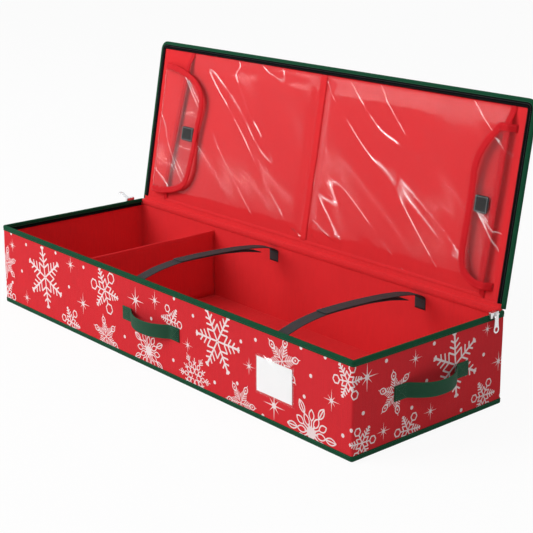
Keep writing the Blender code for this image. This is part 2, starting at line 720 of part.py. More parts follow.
def flap_binding(side, edge, inwards, pivot):
    """A band of even width along a flap's free edge, from hinge to hinge."""
    drop = VINYL + FIT_GAP
    bends = flap_bends(drop)
    line = [Vector((out, edge[0].y)) for out in bends] + list(edge)
    line += [Vector((out, edge[-1].y)) for out in reversed(bends)]
    if inwards > 0:
        line.reverse()
    turn = -1 if inwards > 0 else 1

    def inner(j):
        if line[j].x <= bends[-1]:
            return line[j] + Vector((0, FLAP_BINDING if line[j].y < PATCH_HEIGHT else -FLAP_BINDING))
        along = line[min(j + 1, len(line) - 1)] - line[max(j - 1, 0)]
        return line[j] + Vector((-along.y, along.x)).normalized() * FLAP_BINDING * turn

    def place(i, j):
        point = line[j] if i else inner(j)
        return (inwards * point.x, -point.y, flap_level(point.x, drop) - pivot.location.z)

    sheet(f"flap_binding_{side}", 1, len(line) - 1, place, BINDING, "binding_red", pivot)


def make_flaps(hinge):
    turn_z = SEAM_Z - VINYL / 2
    sides = (
        ("left", 1, flap_edge(FLAP_LEFT_REACH, FLAP_LEFT_SHARES), FLAP_LEFT_REACH - PATCH_LEFT_INSET, PATCH_LEFT),
        ("right", -1, flap_edge(FLAP_RIGHT_REACH, FLAP_RIGHT_SHARES), FLAP_RIGHT_REACH - PATCH_RIGHT_INSET, PATCH_RIGHT),
    )
    for side, inwards, edge, far, patch in sides:
        hinge_x = -inwards * (LID_HALF_LENGTH - FLAP_OFFSET)
        pivot = empty(f"flap_{side}_hinge", (hinge_x, 0, turn_z), parent=hinge)
        flap(side, edge, inwards, pivot)
        flap_binding(side, edge, inwards, pivot)
        low_x, high_x = sorted((inwards * (far - patch), inwards * far))
        low_y, high_y = -PATCH_HEIGHT - PATCH_TALL / 2, -PATCH_HEIGHT + PATCH_TALL / 2
        hook_low = HOOK_FACE_Z - turn_z
        block(f"flap_hook_{side}", (low_x, low_y, hook_low), (high_x, high_y, hook_low + PATCH_THICKNESS), "hook_black", pivot)
        loop_low = (hinge_x + low_x, low_y, LOOP_FACE_Z)
        loop_high = (hinge_x + high_x, high_y, LOOP_FACE_Z + PATCH_THICKNESS)
        block(f"pocket_loop_{side}", loop_low, loop_high, "hook_black", hinge)


def make_slider(side, out, tilt):
    """A slider that hooks over the rim's outer edge, with a bail for the pull tab's eye."""
    run = empty(f"slider_{side}_run", (out * HALF_LENGTH, HALF_WIDTH - SLIDER_FROM_BACK, BOX_HEIGHT))
    half = SLIDER_LENGTH / 2
    inner, outer = FIT_GAP - LID_SIDE_INSET + FIT_GAP, SLIDER_OUT
    low_x, high_x = sorted((out * inner, out * outer))
    body = block(f"slider_{side}", (low_x, -half, FIT_GAP), (high_x, half, SLIDER_RISE), "zip_metal", run)
    lip_low, lip_high = sorted((out * FIT_GAP, out * outer))
    lip = block(f"slider_{side}_lip", (lip_low, -half, -SLIDER_LIP), (lip_high, half, SLIDER_RISE / 2), None, run)
    cut(body, lip, "UNION")
    bail_x = out * (outer + TAB_EYE_PLAY + TAB_EYE_WALL + FIT_GAP)
    bail_plan = [bail_outline(out * (outer - BAIL_WIRE), bail_x + out * BAIL_WIRE / 2)]
    low, high = (SLIDER_RISE - BAIL_WIRE) / 2, (SLIDER_RISE + BAIL_WIRE) / 2
    bail = prism(f"slider_{side}_bail", bail_plan, low, high, None, parent=run)
    cut(body, bail, "UNION")
    pivot = empty(f"puller_{side}_pivot", (bail_x, 0, SLIDER_RISE / 2), (0, out * radians(-tilt), 0), run)
    make_tab(side, pivot)


def bail_outline(root_x, far_x):
    """A square staple in plan, its two legs rooted in the slider."""
    out = 1 if far_x > root_x else -1
    half = BAIL_SPAN / 2
    inner_x = far_x - out * BAIL_WIRE
    outer_line = [(root_x, -half), (far_x, -half), (far_x, half), (root_x, half)]
    inner_half = half - BAIL_WIRE
    return outer_line + [(root_x, inner_half), (inner_x, inner_half), (inner_x, -inner_half), (root_x, -inner_half)]


def make_tab(side, pivot):
    """A pull tab with a rolled eye round the bail. It hangs along -Z from the pivot."""
    eye = TAB_EYE_PLAY + TAB_EYE_WALL
    half, thin = TAB_WIDTH / 2, TAB_THICKNESS / 2
    tip = half - TAB_LENGTH
    roll = arc(0, 0, eye, -60, 240, ROUND_STEPS)
    profile = roll + [(-thin, -eye), (-thin, -TAB_LENGTH), (thin, -TAB_LENGTH), (thin, -eye)]
    bore = arc(0, 0, TAB_EYE_PLAY, 0, 360, ROUND_STEPS)[:-1]
    tab = prism(f"puller_{side}", [profile, bore], -half, half, "zip_metal", rotation=(radians(90), 0, 0), parent=pivot)
    face_on = (radians(90), 0, radians(90))
    shape = [(half + FIT_GAP, tip), (half + FIT_GAP, eye + CUT_OVERRUN), (-half - FIT_GAP, eye + CUT_OVERRUN), (-half - FIT_GAP, tip)]
    shape += arc(0, tip, half, 180, 360, ROUND_STEPS // 2)
    outline = prism(f"puller_{side}_shape", [shape], -CUT_OVERRUN, CUT_OVERRUN, None, rotation=face_on, parent=pivot)
    cut(tab, outline, "INTERSECT")
    ring = [arc(0, tip, TAB_HOLE_RADIUS, 0, 360, ROUND_STEPS)[:-1]]
    hole = prism(f"puller_{side}_hole", ring, -CUT_OVERRUN, CUT_OVERRUN, None, rotation=face_on, parent=pivot)
    cut(tab, hole)


def main():
    clear_scene()
    bpy.context.scene.collection.children.link(parts)
    bpy.context.scene.collection.children.link(cutters)
    make_walls()
    make_floor()
    make_bindings()
    make_base_zip()
    make_hinge_cloth()
    make_divider()
    make_handles()
    make_label()
    make_straps()
    hinge_place = (0, HALF_WIDTH, BOX_HEIGHT + LID_CLOSED_GAP)
    hinge = empty("lid_hinge", hinge_place, (-radians(90 + LID_LEAN), 0, 0))
    make_lid_shell(hinge)
    make_lid_zip(hinge)
    make_pockets(hinge)
    make_flaps(hinge)
    make_slider("left", -1, LEFT_TAB_TILT)
    make_slider("right", 1, 0)


main()
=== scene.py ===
"""Gift wrap organizer: the dressed model, sewn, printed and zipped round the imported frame."""

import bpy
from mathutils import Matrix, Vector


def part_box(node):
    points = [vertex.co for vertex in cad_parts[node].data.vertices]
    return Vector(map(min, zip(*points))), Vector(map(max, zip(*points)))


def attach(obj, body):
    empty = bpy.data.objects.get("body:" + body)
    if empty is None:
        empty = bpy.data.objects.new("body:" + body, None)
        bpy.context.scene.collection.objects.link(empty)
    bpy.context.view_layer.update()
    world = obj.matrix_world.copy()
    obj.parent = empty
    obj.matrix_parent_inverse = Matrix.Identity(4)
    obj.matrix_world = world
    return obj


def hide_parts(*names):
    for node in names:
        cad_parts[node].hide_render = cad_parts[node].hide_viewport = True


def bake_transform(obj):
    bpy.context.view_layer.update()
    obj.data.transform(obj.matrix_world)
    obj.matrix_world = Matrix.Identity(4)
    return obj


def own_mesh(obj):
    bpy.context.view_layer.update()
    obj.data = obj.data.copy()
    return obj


bl_info = {
    "name": "Gift Wrap Organizer",
    "version": (1, 0, 0),
    "blender": (4, 5, 0),
    "location": "View3D > Sidebar > Organizer",
    "description": "Dresses a fabric storage box with printed cloth, bindings, zip, clear lid pockets and webbing",
    "category": "Object",
}

from cmath import exp as turned
from math import cos, dist, exp, hypot, pi, radians, sin

import bmesh
import bpy
from bpy.props import FloatProperty, FloatVectorProperty, PointerProperty
from mathutils import Vector, noise
from mathutils.geometry import delaunay_2d_cdt

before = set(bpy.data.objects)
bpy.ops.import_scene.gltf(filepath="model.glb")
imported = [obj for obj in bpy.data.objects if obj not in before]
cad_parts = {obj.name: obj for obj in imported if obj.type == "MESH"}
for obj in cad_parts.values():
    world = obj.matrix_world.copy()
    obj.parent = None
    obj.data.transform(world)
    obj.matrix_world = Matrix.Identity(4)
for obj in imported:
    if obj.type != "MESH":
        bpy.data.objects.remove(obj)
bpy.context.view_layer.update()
X, Y, Z = Vector((1, 0, 0)), Vector((0, 1, 0)), Vector((0, 0, 1))

# The box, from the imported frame
HALF_X, HALF_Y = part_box("base_binding")[1][:2]
RIM_BACK_Y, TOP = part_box("rim_binding")[1][1:]
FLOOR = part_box("bottom_lining")[1].z
DIVIDER_X = sum(p.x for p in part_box("divider_cover")) / 2
DIVIDER_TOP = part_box("divider_cover")[1].z
CORNER = 0.005
WRAP = 0.001
LINING = 0.005
RIM = 0.006
WALL_BOARDS = ("front_board", "left_board", "right_board", "back_board")
TAPE_STEP = 0.009

# The lid: its hinge line, how it leans and its size, measured along it from the hinge
HINGE_Y, HINGE_Z = HALF_Y, TOP + 0.0005
LEAN = radians(10)
LID_X, LID_DEPTH, LID_THICK = 0.512, 0.353, 0.006
LID_BACK = 0.0005
LID_CORNER = 0.018
LID_IN = Vector((0, -cos(LEAN), sin(LEAN)))
LID_SIDE = LID_DEPTH - LID_CORNER - LID_BACK
LID_BEND = pi / 2 * LID_CORNER
LID_ROUND = 2 * LID_SIDE + 2 * LID_BEND + 2 * (LID_X - LID_CORNER)

# Pockets and flaps, on the lid
POCKET_LOW, POCKET_HIGH = 0.008, 0.3369
POCKET_RISE, FLAP_RISE = 0.0085, 0.0119
SEAM = 0.0007
STRIP_X, FLAP_X = 0.013, 0.482
FLAP_LOW, FLAP_HIGH = 0.025, 0.306
LEFT_REACH, RIGHT_REACH = 0.153, 0.0735
PATCH_S = 0.165
# Percent of a flap's reach and height along its free edge
LEFT_EDGE = (
    (26, 0), (54, 3), (73, 7), (84, 12), (89.5, 18), (92.5, 26), (93.5, 38), (94.5, 50), (96, 58), (98.5, 65),
    (100, 71), (99, 78), (93, 84.5), (79, 91), (60, 95.5), (39, 98.5), (24, 100),
)
RIGHT_EDGE = (
    (42, 0), (63, 2.5), (82, 6), (95, 12), (100, 20), (100, 32), (100, 45), (100, 58), (99, 70), (92, 80),
    (76, 88.5), (57, 95), (42, 100),
)

# Distances round the box, anticlockwise from the middle of the back
BEND = pi / 2 * CORNER
SIDES = (HALF_X - CORNER, 2 * (HALF_Y - CORNER), 2 * (HALF_X - CORNER), 2 * (HALF_Y - CORNER), HALF_X - CORNER)
ROUND = sum(SIDES) + 4 * BEND
LEFT_START = SIDES[0] + BEND
FRONT_START = LEFT_START + SIDES[1] + BEND
RIGHT_START = FRONT_START + SIDES[2] + BEND

# Straps: percent of the way across the box and of the arch's height
STRAP_X = (-0.062, 0.330)
STRAP_WIDE, STRAP_THICK = 0.025, 0.0014
STRAP_SEWN_TOP, STRAP_TAB, STRAP_RISE = TOP - 0.022, 0.021, 0.025
STRAP_FRONT = ((2.5, 22), (7, 46), (17, 80), (30, 100), (45, 99), (60, 90), (75, 66), (87, 30))
STRAP_REAR = ((30, 100), (45, 99), (60, 92), (75, 78), (87, 58), (95, 32), (98.5, 10))

HANDLE_WIDE, HANDLE_THICK, HANDLE_Z = 0.026, 0.0016, 0.0875
COIL_WIDE, COIL_RISE, COIL_WIRE = 0.0026, 0.0016, 0.0007
PULLER_AT, PULLER_EYE = 0.5233, 0.0033
SENSOR, FOCAL_PIXELS, FRAME_PIXELS = 36.0, 1305.8, 533

# Sections of the tapes in tenths of a millimetre, from one edge to the other: inset, height, wear in tenths
RIM_SECTION = (
    (9, -102, 0), (2, -100, 5), (0, -88, 0), (5, -76, 0), (0, -64, 0), (-2, -45, 3), (0, -20, 3), (5, -7, 10),
    (15, -1, 6), (30, 0, 3), (45, -2, 4), (55, -8, 8), (60, -20, 2), (61, -50, 0), (60, -78, 4), (55, -80, 2),
)
BASE_SECTION = (
    (98, 1, 3), (80, 0, 0), (40, 0, 2), (16, 2, 10), (5, 9, 10), (0, 22, 4), (-2, 50, 0), (0, 75, 0), (2, 95, 5),
    (9, 97, 0),
)
LID_SECTION = (
    (76, 4, 2), (74, -1, 4), (55, -3, 0), (25, -2, 0), (10, 3, 5), (2, 13, 10), (0, 30, 4), (2, 47, 10),
    (10, 57, 5), (25, 62, 0), (55, 63, 0), (74, 61, 4), (76, 56, 2),
)
MOUTH_SECTION = (
    (-8, 6, 0), (-9, -1, 8), (-4, -7, 8), (20, -11, 0), (60, -12, 0), (95, -10, 0), (116, -6, 8), (120, -1, 0),
)
FLAP_SECTION = (
    (-8, 7, 0), (-9, 0, 8), (-3, -8, 8), (20, -12, 0), (65, -13, 0), (100, -11, 0), (121, -6, 8), (125, -1, 0),
)
STRIP_SECTION = ((-82, 3, 0), (-80, -3, 6), (-50, -7, 0), (0, -6, 0), (50, -7, 0), (80, -3, 6), (82, 3, 0))
HEM_SECTION = ((0, 3, 0), (2, -3, 6), (15, -7, 0), (35, -8, 0), (55, -7, 0), (68, -3, 6), (70, 3, 0))
BASE_ZIP = ((52, -76), (60, -78), (62, -100), (61, -135), (58, -140))
LID_ZIP = ((70, -3), (78, -5), (105, -6), (150, -4), (162, 2))
HINGE_IN = ((8, -122), (0, -118), (-1, -60), (0, -20), (6, -5), (20, 0), (45, 1), (55, 4))
HINGE_OUT = ((1, -208), (3, -205), (2, -140), (2, -90))
PULLER_EDGE = ((-31, 22), (-40, 45), (-44, 80), (-43, 140), (-51, 205))

# The print in millimetres: place along the face, height, radius and turn in degrees. Dots have a place and height
FRONT_PRINT = {
    "fern": ((-355.5, 89.5, 66, 38), (190.5, 106.5, 61, 0)),
    "rings": (
        (-144.5, 114, 47, -7), (-265, 19.5, 33, -6), (61.5, 108, 31, 57), (-508, 20, 33, 52), (502.5, 129, 33, 8),
    ),
    "leaf": ((-144.5, 23, 43, 42), (354, 118, 45, 18), (-505, 85.5, 40, 20), (251.5, 14, 40, 4)),
    "flower": ((-8, 33, 48, 29), (423.5, 18.5, 56, 0)),
    "lace": ((126.5, 23.5, 44, 0),),
    "star": (
        (-479, 129.5, 16, 0), (-260.5, 137.5, 18, 0), (-430, 28.5, 16, 0), (-220, 69, 23, 0), (-45.5, 120, 27, 0),
        (13.5, 134, 19, 0), (108, 76.5, 15, 0), (273, 86, 16, 0), (335, 36, 27, 0), (468, 87, 19, 0),
    ),
}
FRONT_DOTS = (
    (-424, 142.5), (-313.5, 149.5), (-445, 82), (-485, 48), (-268.5, 91), (-215, 143), (-482.5, 153.5),
    (-83, 39.5), (70.5, 152), (124.5, 134.5), (66, 36.5), (182.5, 30), (2, 97), (252.5, 123.5), (289.5, 136.5),
    (242.5, 46.5), (421, 113.5), (406.5, 74.5), (494, 38), (307.5, 10), (398, 153.5), (453, 153.5), (512, 118.5),
    (512, 52),
)
END_PRINT = {
    "fern": ((56.5, 99.5, 60, 35),),
    "leaf": ((-83.5, 89, 41, 40),),
    "rings": ((-155, 26.5, 30, 57), (-53, 17.5, 31, -5), (130, 26.5, 31, -2)),
    "star": (
        (-147, 131.5, 25, 0), (-40, 134.5, 16, 0), (166.5, 78, 19, 0), (133.5, 142.5, 14, 0), (-0.5, 35, 16, 0),
        (-108.5, 32, 16, 0),
    ),
}
END_DOTS = (
    (-105.5, 147.5), (3.5, 149), (127, 99.5), (-154, 75), (-45, 53.5), (-12, 90), (75, 15.5), (175.5, 15),
)
DOT = 0.0034
LINE_WEIGHT = {"fern": 0.05, "rings": 0.056, "leaf": 0.036, "flower": 0.04, "lace": 0.042, "star": 0.0, "dot": 0.0}
PRINTED = ("print_cloth", "print_ink")

SLOTS = {
    "print_cloth": "printed_red", "lining_cloth": "lining_red", "green_tape": "binding_green",
    "green_webbing": "handle_green", "red_tape": "binding_red", "zip_cloth": "zip_black",
    "strap_webbing": "strap_black", "hook_pile": "hook_black", "clear_film": "clear_vinyl",
}


def linear(red, green, blue):
    """A colour of the screen, 0 to 255, as light."""
    return tuple((c / 255 / 12.92) if c <= 10 else ((c / 255 + 0.055) / 1.055) ** 2.4 for c in (red, green, blue))


def eased(value, low, high):
    """0 before low, 1 after high and smooth between them."""
    t = min(max((value - low) / (high - low), 0.0), 1.0)
    return t * t * (3 - 2 * t)


def ripple(x, y, seed):
    return noise.noise(Vector((x, y, seed)))


def spread(low, high, count):
    """Even steps from low to high, both with it."""
    return [low + (high - low) * k / count for k in range(count + 1)]


def lengths(points):
    """The distance along a line at each of its points."""
    found = [0.0]
    for a, b in zip(points, points[1:]):
        found.append(found[-1] + dist(a, b))
    return found


def tenths(section, across=0.0, up=0.0):
    """A tape's section in metres from (across, up), with its wear."""
    return [(across + a / 10000, up + b / 10000, *(w / 10 for w in wear)) for a, b, *wear in section]


def oblong(x, y, far_x, far_y):
    return [(x, y), (far_x, y), (far_x, far_y), (x, far_y)]


def circle(centre, side, up, radius, count):
    """Points of a circle in the plane of side and up."""
    turns = [2 * pi * k / count for k in range(count)]
    return [centre + side * radius * cos(a) + up * radius * sin(a) for a in turns]


def smooth_curve(points, steps):
    """A Catmull-Rom curve through the points."""
    points = [Vector(p) for p in points]
    ends = [points[0] * 2 - points[1]] + points + [points[-1] * 2 - points[-2]]
    found = []
    for a, b, c, d in zip(ends, ends[1:], ends[2:], ends[3:]):
        for t in spread(0, 1, steps)[:-1]:
            bent = (a * 2 - b * 5 + c * 4 - d) * t**2 + (b * 3 - a - c * 3 + d) * t**3
            found.append((b * 2 + (c - a) * t + bent) / 2)
    return found + [points[-1]]


def front_u(x):
    return FRONT_START + x + HALF_X - CORNER


def right_u(y):
    return RIGHT_START + y + HALF_Y - CORNER


def left_u(y):
    return LEFT_START + HALF_Y - CORNER - y


def back_u(x):
    return -x if x <= 0 else ROUND - x


def around(u, inset=0.0):
    """The point and the outward direction at distance u round the box's plan, moved in from its outer face."""
    x, y = HALF_X - max(CORNER, inset), HALF_Y - max(CORNER, inset)
    radius = max(CORNER - inset, 0.0)
    stops = [Vector(p) for p in ((0, y), (-x, y), (-x, -y), (x, -y), (x, y), (0, y))]
    for k, length in enumerate(SIDES):
        heading = radians(90 + 90 * k)
        if u <= length or k == 4:
            spot = stops[k].lerp(stops[k + 1], min(u / length, 1.0))
            break
        u -= length
        if u < BEND:
            heading += pi / 2 * u / BEND
            spot = stops[k + 1]
            break
        u -= BEND
    out = Vector((cos(heading), sin(heading), 0))
    return spot.to_3d() + out * radius, out


def wall(u, z, inset, lift=0.0):
    """A point on a layer of the wall."""
    point, out = around(u, inset)
    return point + out * lift + Vector((0, 0, z))


def outwards(p):
    """Away from the box's middle, at a point of its walls."""
    return Vector((p.x / HALF_X**3, p.y / HALF_Y**3, 0))


def inwards(p):
    return -outwards(p)


def stations(start, end, step, bend_steps=5):
    """Distances round the box at which a strip gets a column: even ones on the sides, closer ones on the bends."""
    found, u = {round(start, 7), round(end, 7)}, 0.0
    for k, length in enumerate(SIDES):
        found |= {round(v, 7) for v in spread(u, u + length, max(round(length / step), 1))}
        u += length
        if k < 4:
            found |= {round(v, 7) for v in spread(u, u + BEND, bend_steps)}
            u += BEND
    return sorted(x for x in found if start - 1e-6 <= x <= end + 1e-6)


def lid(x, s, z):
    """A point of the lid: x along it, s up from the hinge, z from its inner face outwards."""
    return Vector((x, HINGE_Y + sin(LEAN) * s + cos(LEAN) * z, HINGE_Z + cos(LEAN) * s - sin(LEAN) * z))


def lid_edge(u, inset=0.0):
    """The place (x, s) at distance u along the lid's edge: up its left side, across and down."""
    wide, high = LID_X - LID_CORNER, LID_DEPTH - LID_CORNER
    way, u = (-1, u) if u < LID_ROUND / 2 else (1, LID_ROUND - u)
    if u <= LID_SIDE:
        return way * (LID_X - inset), LID_BACK + u
    bend = (u - LID_SIDE) / LID_CORNER
    if bend < pi / 2:
        radius = LID_CORNER - inset
        return way * (wide + radius * cos(bend)), high + radius * sin(bend)
    return way * (wide - (u - LID_SIDE - LID_BEND)), high + LID_CORNER - inset


def lid_stations(low, step):
    """Distances along the lid's edge, from height low on the left to height low on the right."""
    start, bend = low - LID_BACK, LID_SIDE + LID_BEND
    marks = [start, LID_SIDE, bend, LID_ROUND - bend, LID_ROUND - LID_SIDE, LID_ROUND - start]
    found = []
    for k, (a, b) in enumerate(zip(marks, marks[1:])):
        found += spread(a, b, 8 if k in (1, 3) else max(round((b - a) / step), 1))[:-1]
    return found + [LID_ROUND - start]


# Making pieces


def linked(name, data):
    obj = bpy.data.objects.new(name, data)
    bpy.context.scene.collection.objects.link(obj)
    return obj


def dressed(obj, body, slot, node=None):
    """Says what a piece rides on and the node that it replaces. slot is not used."""
    if body:
        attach(obj, body)
    if node:
        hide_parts(node)
    return obj


def evaluated(obj):
    """The mesh that an object's modifiers or curve give."""
    bpy.context.view_layer.update()
    return bpy.data.meshes.new_from_object(obj.evaluated_get(bpy.context.evaluated_depsgraph_get()))


def shade(mesh, smooth=True):
    mesh.polygons.foreach_set("use_smooth", [smooth] * len(mesh.polygons))


def grid(columns, loop=False):
    """A grid's mesh. Its corners are (point, (u, v) in metres, wear). A loop joins the last row to the first."""
    points, uvs, wear = zip(*(corner for column in columns for corner in column))
    rows, last = len(columns[0]), len(points) - len(columns[0])
    faces = []
    for start in range(0, last, rows):
        for j in range(rows if loop else rows - 1):
            a, b = start + j, start + (j + 1) % rows
            faces.append((a, a + rows, b + rows, b))
    if loop:
        faces += [tuple(range(rows))[::-1], tuple(range(last, last + rows))]
    return points, uvs, wear, faces, [0] * len(faces)


def settle(name, made, finishes, body, out=None, node=None, thick=0.0, weld=0.0):
    """Makes an object that rides on a body. out is the way an open sheet faces, or gives it at a point."""
    points, uvs, wear, faces, finish = made
    mesh = bpy.data.meshes.new(name)
    mesh.from_pydata([tuple(p) for p in points], [], faces)
    index = [0] * len(mesh.loops)
    mesh.loops.foreach_get("vertex_index", index)
    mesh.uv_layers.new(name="cloth").data.foreach_set("uv", [c for i in index for c in uvs[i]])
    mesh.attributes.new("wear", "FLOAT", "POINT").data.foreach_set("value", wear)
    for label in finishes:
        mesh.materials.append(bpy.data.materials[label])
    mesh.polygons.foreach_set("material_index", finish)
    work = bmesh.new()
    work.from_mesh(mesh)
    if weld:
        bmesh.ops.remove_doubles(work, verts=work.verts, dist=weld)
    if out is None:
        bmesh.ops.recalc_face_normals(work, faces=work.faces)
    else:
        work.normal_update()
        way = out if callable(out) else lambda p: out
        if sum(f.normal.dot(way(f.calc_center_median())) * f.calc_area() for f in work.faces) < 0:
            bmesh.ops.reverse_faces(work, faces=work.faces)
    work.to_mesh(mesh)
    work.free()
    shade(mesh)
    obj = linked(name, mesh)
    if thick:
        walls = obj.modifiers.new("thickness", "SOLIDIFY")
        walls.thickness = thick
        walls.offset = -1
        walls.use_even_offset = True
    return dressed(obj, body, SLOTS[finishes[0]], node)


def sheet(name, columns, rows, place, finish, body, out, node, thick=0.0, weld=0.0):
    """Cloth, film or tape. place(a, b) is the corner at a column's and a row's value."""
    made = grid([[place(a, b) for b in rows] for a in columns])
    return settle(name, made, (finish,), body, out, node, thick, weld)


def declared(obj, width, length, held="stretched", rests_on=(), area=None):
    return obj


def rounded_bar(wide, thick, steps=3, flat=8):
    """The outline of a strap's section with rounded edges, as (across, out) pairs."""
    radius = thick * 0.48
    found = []
    for corner, (sx, sy) in enumerate(((1, 1), (-1, 1), (-1, -1), (1, -1))):
        across, out = sx * (wide / 2 - radius), sy * (thick / 2 - radius)
        for angle in (pi / 2 * (corner + k / steps) for k in range(steps + 1)):
            found.append((across + radius * cos(angle), out + radius * sin(angle)))
        if corner in (0, 2):
            a, b = found[-1]
            found += [(a * (1 - 2 * m / flat), b) for m in range(1, flat)]
    return found


def web(name, path, across, wide, thick, finish, node=None, wave=0.0, turn=None):
    """Webbing along a path. across gives its width direction, and turn leans it about its run at each point."""
    section, along, last = rounded_bar(wide, thick), lengths(path), len(path) - 1

    def place(i, a, b):
        run = (path[min(i + 1, last)] - path[max(i - 1, 0)]).normalized()
        side = (across - run * across.dot(run)).normalized()
        up = run.cross(side)
        if turn:
            lean = turn(i / last)
            side, up = side * cos(lean) + up * sin(lean), up * cos(lean) - side * sin(lean)
        swell = wave * ripple(along[i] * 60, a * 90, 4.1)
        return path[i] + side * a + up * (b + swell), (along[i], a), eased(abs(a), wide / 2 - 0.003, wide / 2)

    made = grid([[place(i, *point) for point in section] for i in range(len(path))], loop=True)
    return settle(name, made, (finish,), "base", node=node)


# The print


def line(a, b, wide, tip=None):
    """One line of the print, with blunt ends."""
    tip = wide if tip is None else tip
    run = (b - a) / abs(b - a)
    side = 0.5j * run
    return [a + side * wide, a - run * wide * 0.3, a - side * wide, b - side * tip, b + run * tip * 0.3, b + side * tip]


def fork(wide, *rows):
    """Pairs of lines off an arm that lies along the real axis, by root, length and angle."""
    return [line(a, a + size * turned(1j * radians(way * angle)), wide) for a, size, angle in rows for way in (1, -1)]


def ring(centre, across, tall, wide, count=6):
    """A closed loop drawn with straight lines."""
    turns = [2 * pi * k / count for k in range(count)]
    corners = [centre + across * cos(a) + 1j * tall * sin(a) for a in turns]
    return [line(a, b, wide) for a, b in zip(corners, corners[1:] + corners[:1])]


def polygon(*radii, turns=1):
    """A polygon about zero with these radii in turn."""
    count = len(radii) * turns
    return [radii[k % len(radii)] * turned(2j * pi * k / count) for k in range(count)]


def round_it(shapes, count, turn=0.0):
    """Copies of the shapes, turned evenly about zero."""
    turns = [turned(1j * (radians(turn) + 2 * pi * k / count)) for k in range(count)]
    return [[p * way for p in shape] for way in turns for shape in shapes]


def pointed(start, end, wide, weight, steps=5):
    """The outline of a leaf along the real axis, from point to point."""
    side = [start + (end - start) * k / steps + 1j * wide * sin(pi * k / steps) ** 0.8 for k in range(steps + 1)]
    other = [p.conjugate() for p in side]
    return [line(a, b, weight) for half in (side, other) for a, b in zip(half, half[1:])]


def motif(kind, wide):
    """A snowflake of radius 1 about zero, as polygons."""
    if kind == "fern":
        arm = [line(0.03, 0.95, wide, wide * 1.4)] + fork(wide, (0.29, 0.29, 60), (0.46, 0.235, 58), (0.64, 0.18, 54))
        return round_it(arm + fork(wide * 1.2, (0.86, 0.10, 44)), 6)
    if kind == "rings":
        fern = [line(0.03, 0.93, wide, wide * 1.3)] + fork(wide, (0.48, 0.24, 60), (0.65, 0.18, 55), (0.82, 0.11, 50))
        loop = [line(0.03, 0.54, wide)] + ring(0.76, 0.22, 0.22, wide)
        return round_it(fern, 3) + round_it(loop, 3, 60) + round_it(fork(wide, (0.29, 0.29, 60)), 6)
    if kind == "leaf":
        barbs = fork(wide, *((0.15 + 0.12 * k, 0.31 - 0.045 * k, 42) for k in range(4)))
        seed = [[0.73 + p for p in polygon(0.045, turns=6)]]
        tip = pointed(0.57, 0.91, 0.12, wide * 1.25, 4) + [line(0.89, 1.0, wide, wide * 0.5)] + seed
        return round_it([line(0.02, 0.6, wide)] + barbs + tip, 6)
    if kind == "flower":
        long = pointed(0.2, 0.58, 0.095, wide) + pointed(0.58, 1.0, 0.1, wide) + [line(0.55, 0.95, wide)]
        short = [line(0.1, 0.38, wide)] + pointed(0.36, 0.7, 0.1, wide)
        return round_it(long, 6) + round_it(short, 6, 30) + [polygon(0.3, 0.17, turns=12)]
    if kind == "lace":
        cells = ring(0.27, 0.14, 0.12, wide) + ring(0.52, 0.11, 0.09, wide) + [line(0.62, 1.0, wide, wide * 0.6)]
        between = ring(0.42, 0.12, 0.1, wide) + fork(wide, (0.52, 0.15, 40)) + [line(0.5, 0.78, wide)]
        return round_it(cells + fork(wide, (0.66, 0.2, 42), (0.78, 0.13, 42)), 6) + round_it(between, 6, 30)
    if kind == "star":
        return [polygon(1.0, 0.12, 0.62, 0.12, turns=4), polygon(0.2, turns=8)]
    return [polygon(1.0, turns=12)]


def stamp(kind, x, y, radius, turn, weight):
    """A motif at its place on the cloth."""
    heavier = 1.25 if kind == "rings" and radius < 0.04 else 1.0
    shapes = motif(kind, LINE_WEIGHT[kind] * weight * heavier)
    return [[complex(x, y) + p * radius * turned(1j * radians(turn)) for p in shape] for shape in shapes]


def marks_of(table, dots=()):
    """The kind, place, height, radius and turn of each motif of a face."""
    flakes = [(kind, x / 1000, z / 1000, r / 1000, turn) for kind, rows in table.items() for x, z, r, turn in rows]
    return flakes + [("dot", x / 1000, z / 1000, DOT, 0) for x, z in dots]


def printed(outline, motifs, lay, bars, rows):
    """A cloth with the print in it: a flat outline cut along every line of the print and laid by lay(u, v)."""
    points, polygons, edges = [], [], []
    for shape in [[complex(*p) for p in outline]] + motifs:
        polygons.append(list(range(len(points), len(points) + len(shape))))
        points += [Vector((p.real, p.imag)) for p in shape]
    (left, right), (low, high) = ((min(c) - 0.001, max(c) + 0.001) for c in zip(*outline))
    for ends in [((u, low), (u, high)) for u in bars] + [((left, v), (right, v)) for v in rows]:
        edges.append((len(points), len(points) + 1))
        points += [Vector(p) for p in ends]
    found, _, faces, _, _, sources = delaunay_2d_cdt(points, edges, polygons, 1, 1e-6)
    kept = [(face, source) for face, source in zip(faces, sources) if 0 in source]
    used = {i: k for k, i in enumerate(dict.fromkeys(i for face, _ in kept for i in face))}
    uvs = [tuple(found[i]) for i in used]
    faces, finish = [tuple(used[i] for i in face) for face, _ in kept], [int(len(source) > 1) for _, source in kept]
    return [lay(*uv) for uv in uvs], uvs, [0.0] * len(uvs), faces, finish


# Nodes, shader groups and finishes


class Value:
    """What a node gives. Sums with it add Math nodes."""

    def __init__(self, tree, socket):
        self.tree, self.socket = tree, socket

    def math(self, operation, *values):
        return Node(self.tree, "ShaderNodeMath", enumerate(values or (self,)), operation=operation)[0]

    def __add__(self, other):
        return self.math("ADD", self, other)

    def __sub__(self, other):
        return self.math("SUBTRACT", self, other)

    def __rsub__(self, other):
        return self.math("SUBTRACT", other, self)

    def __mul__(self, other):
        return self.math("MULTIPLY", self, other)

    def clamped(self):
        self.socket.node.use_clamp = True
        return self


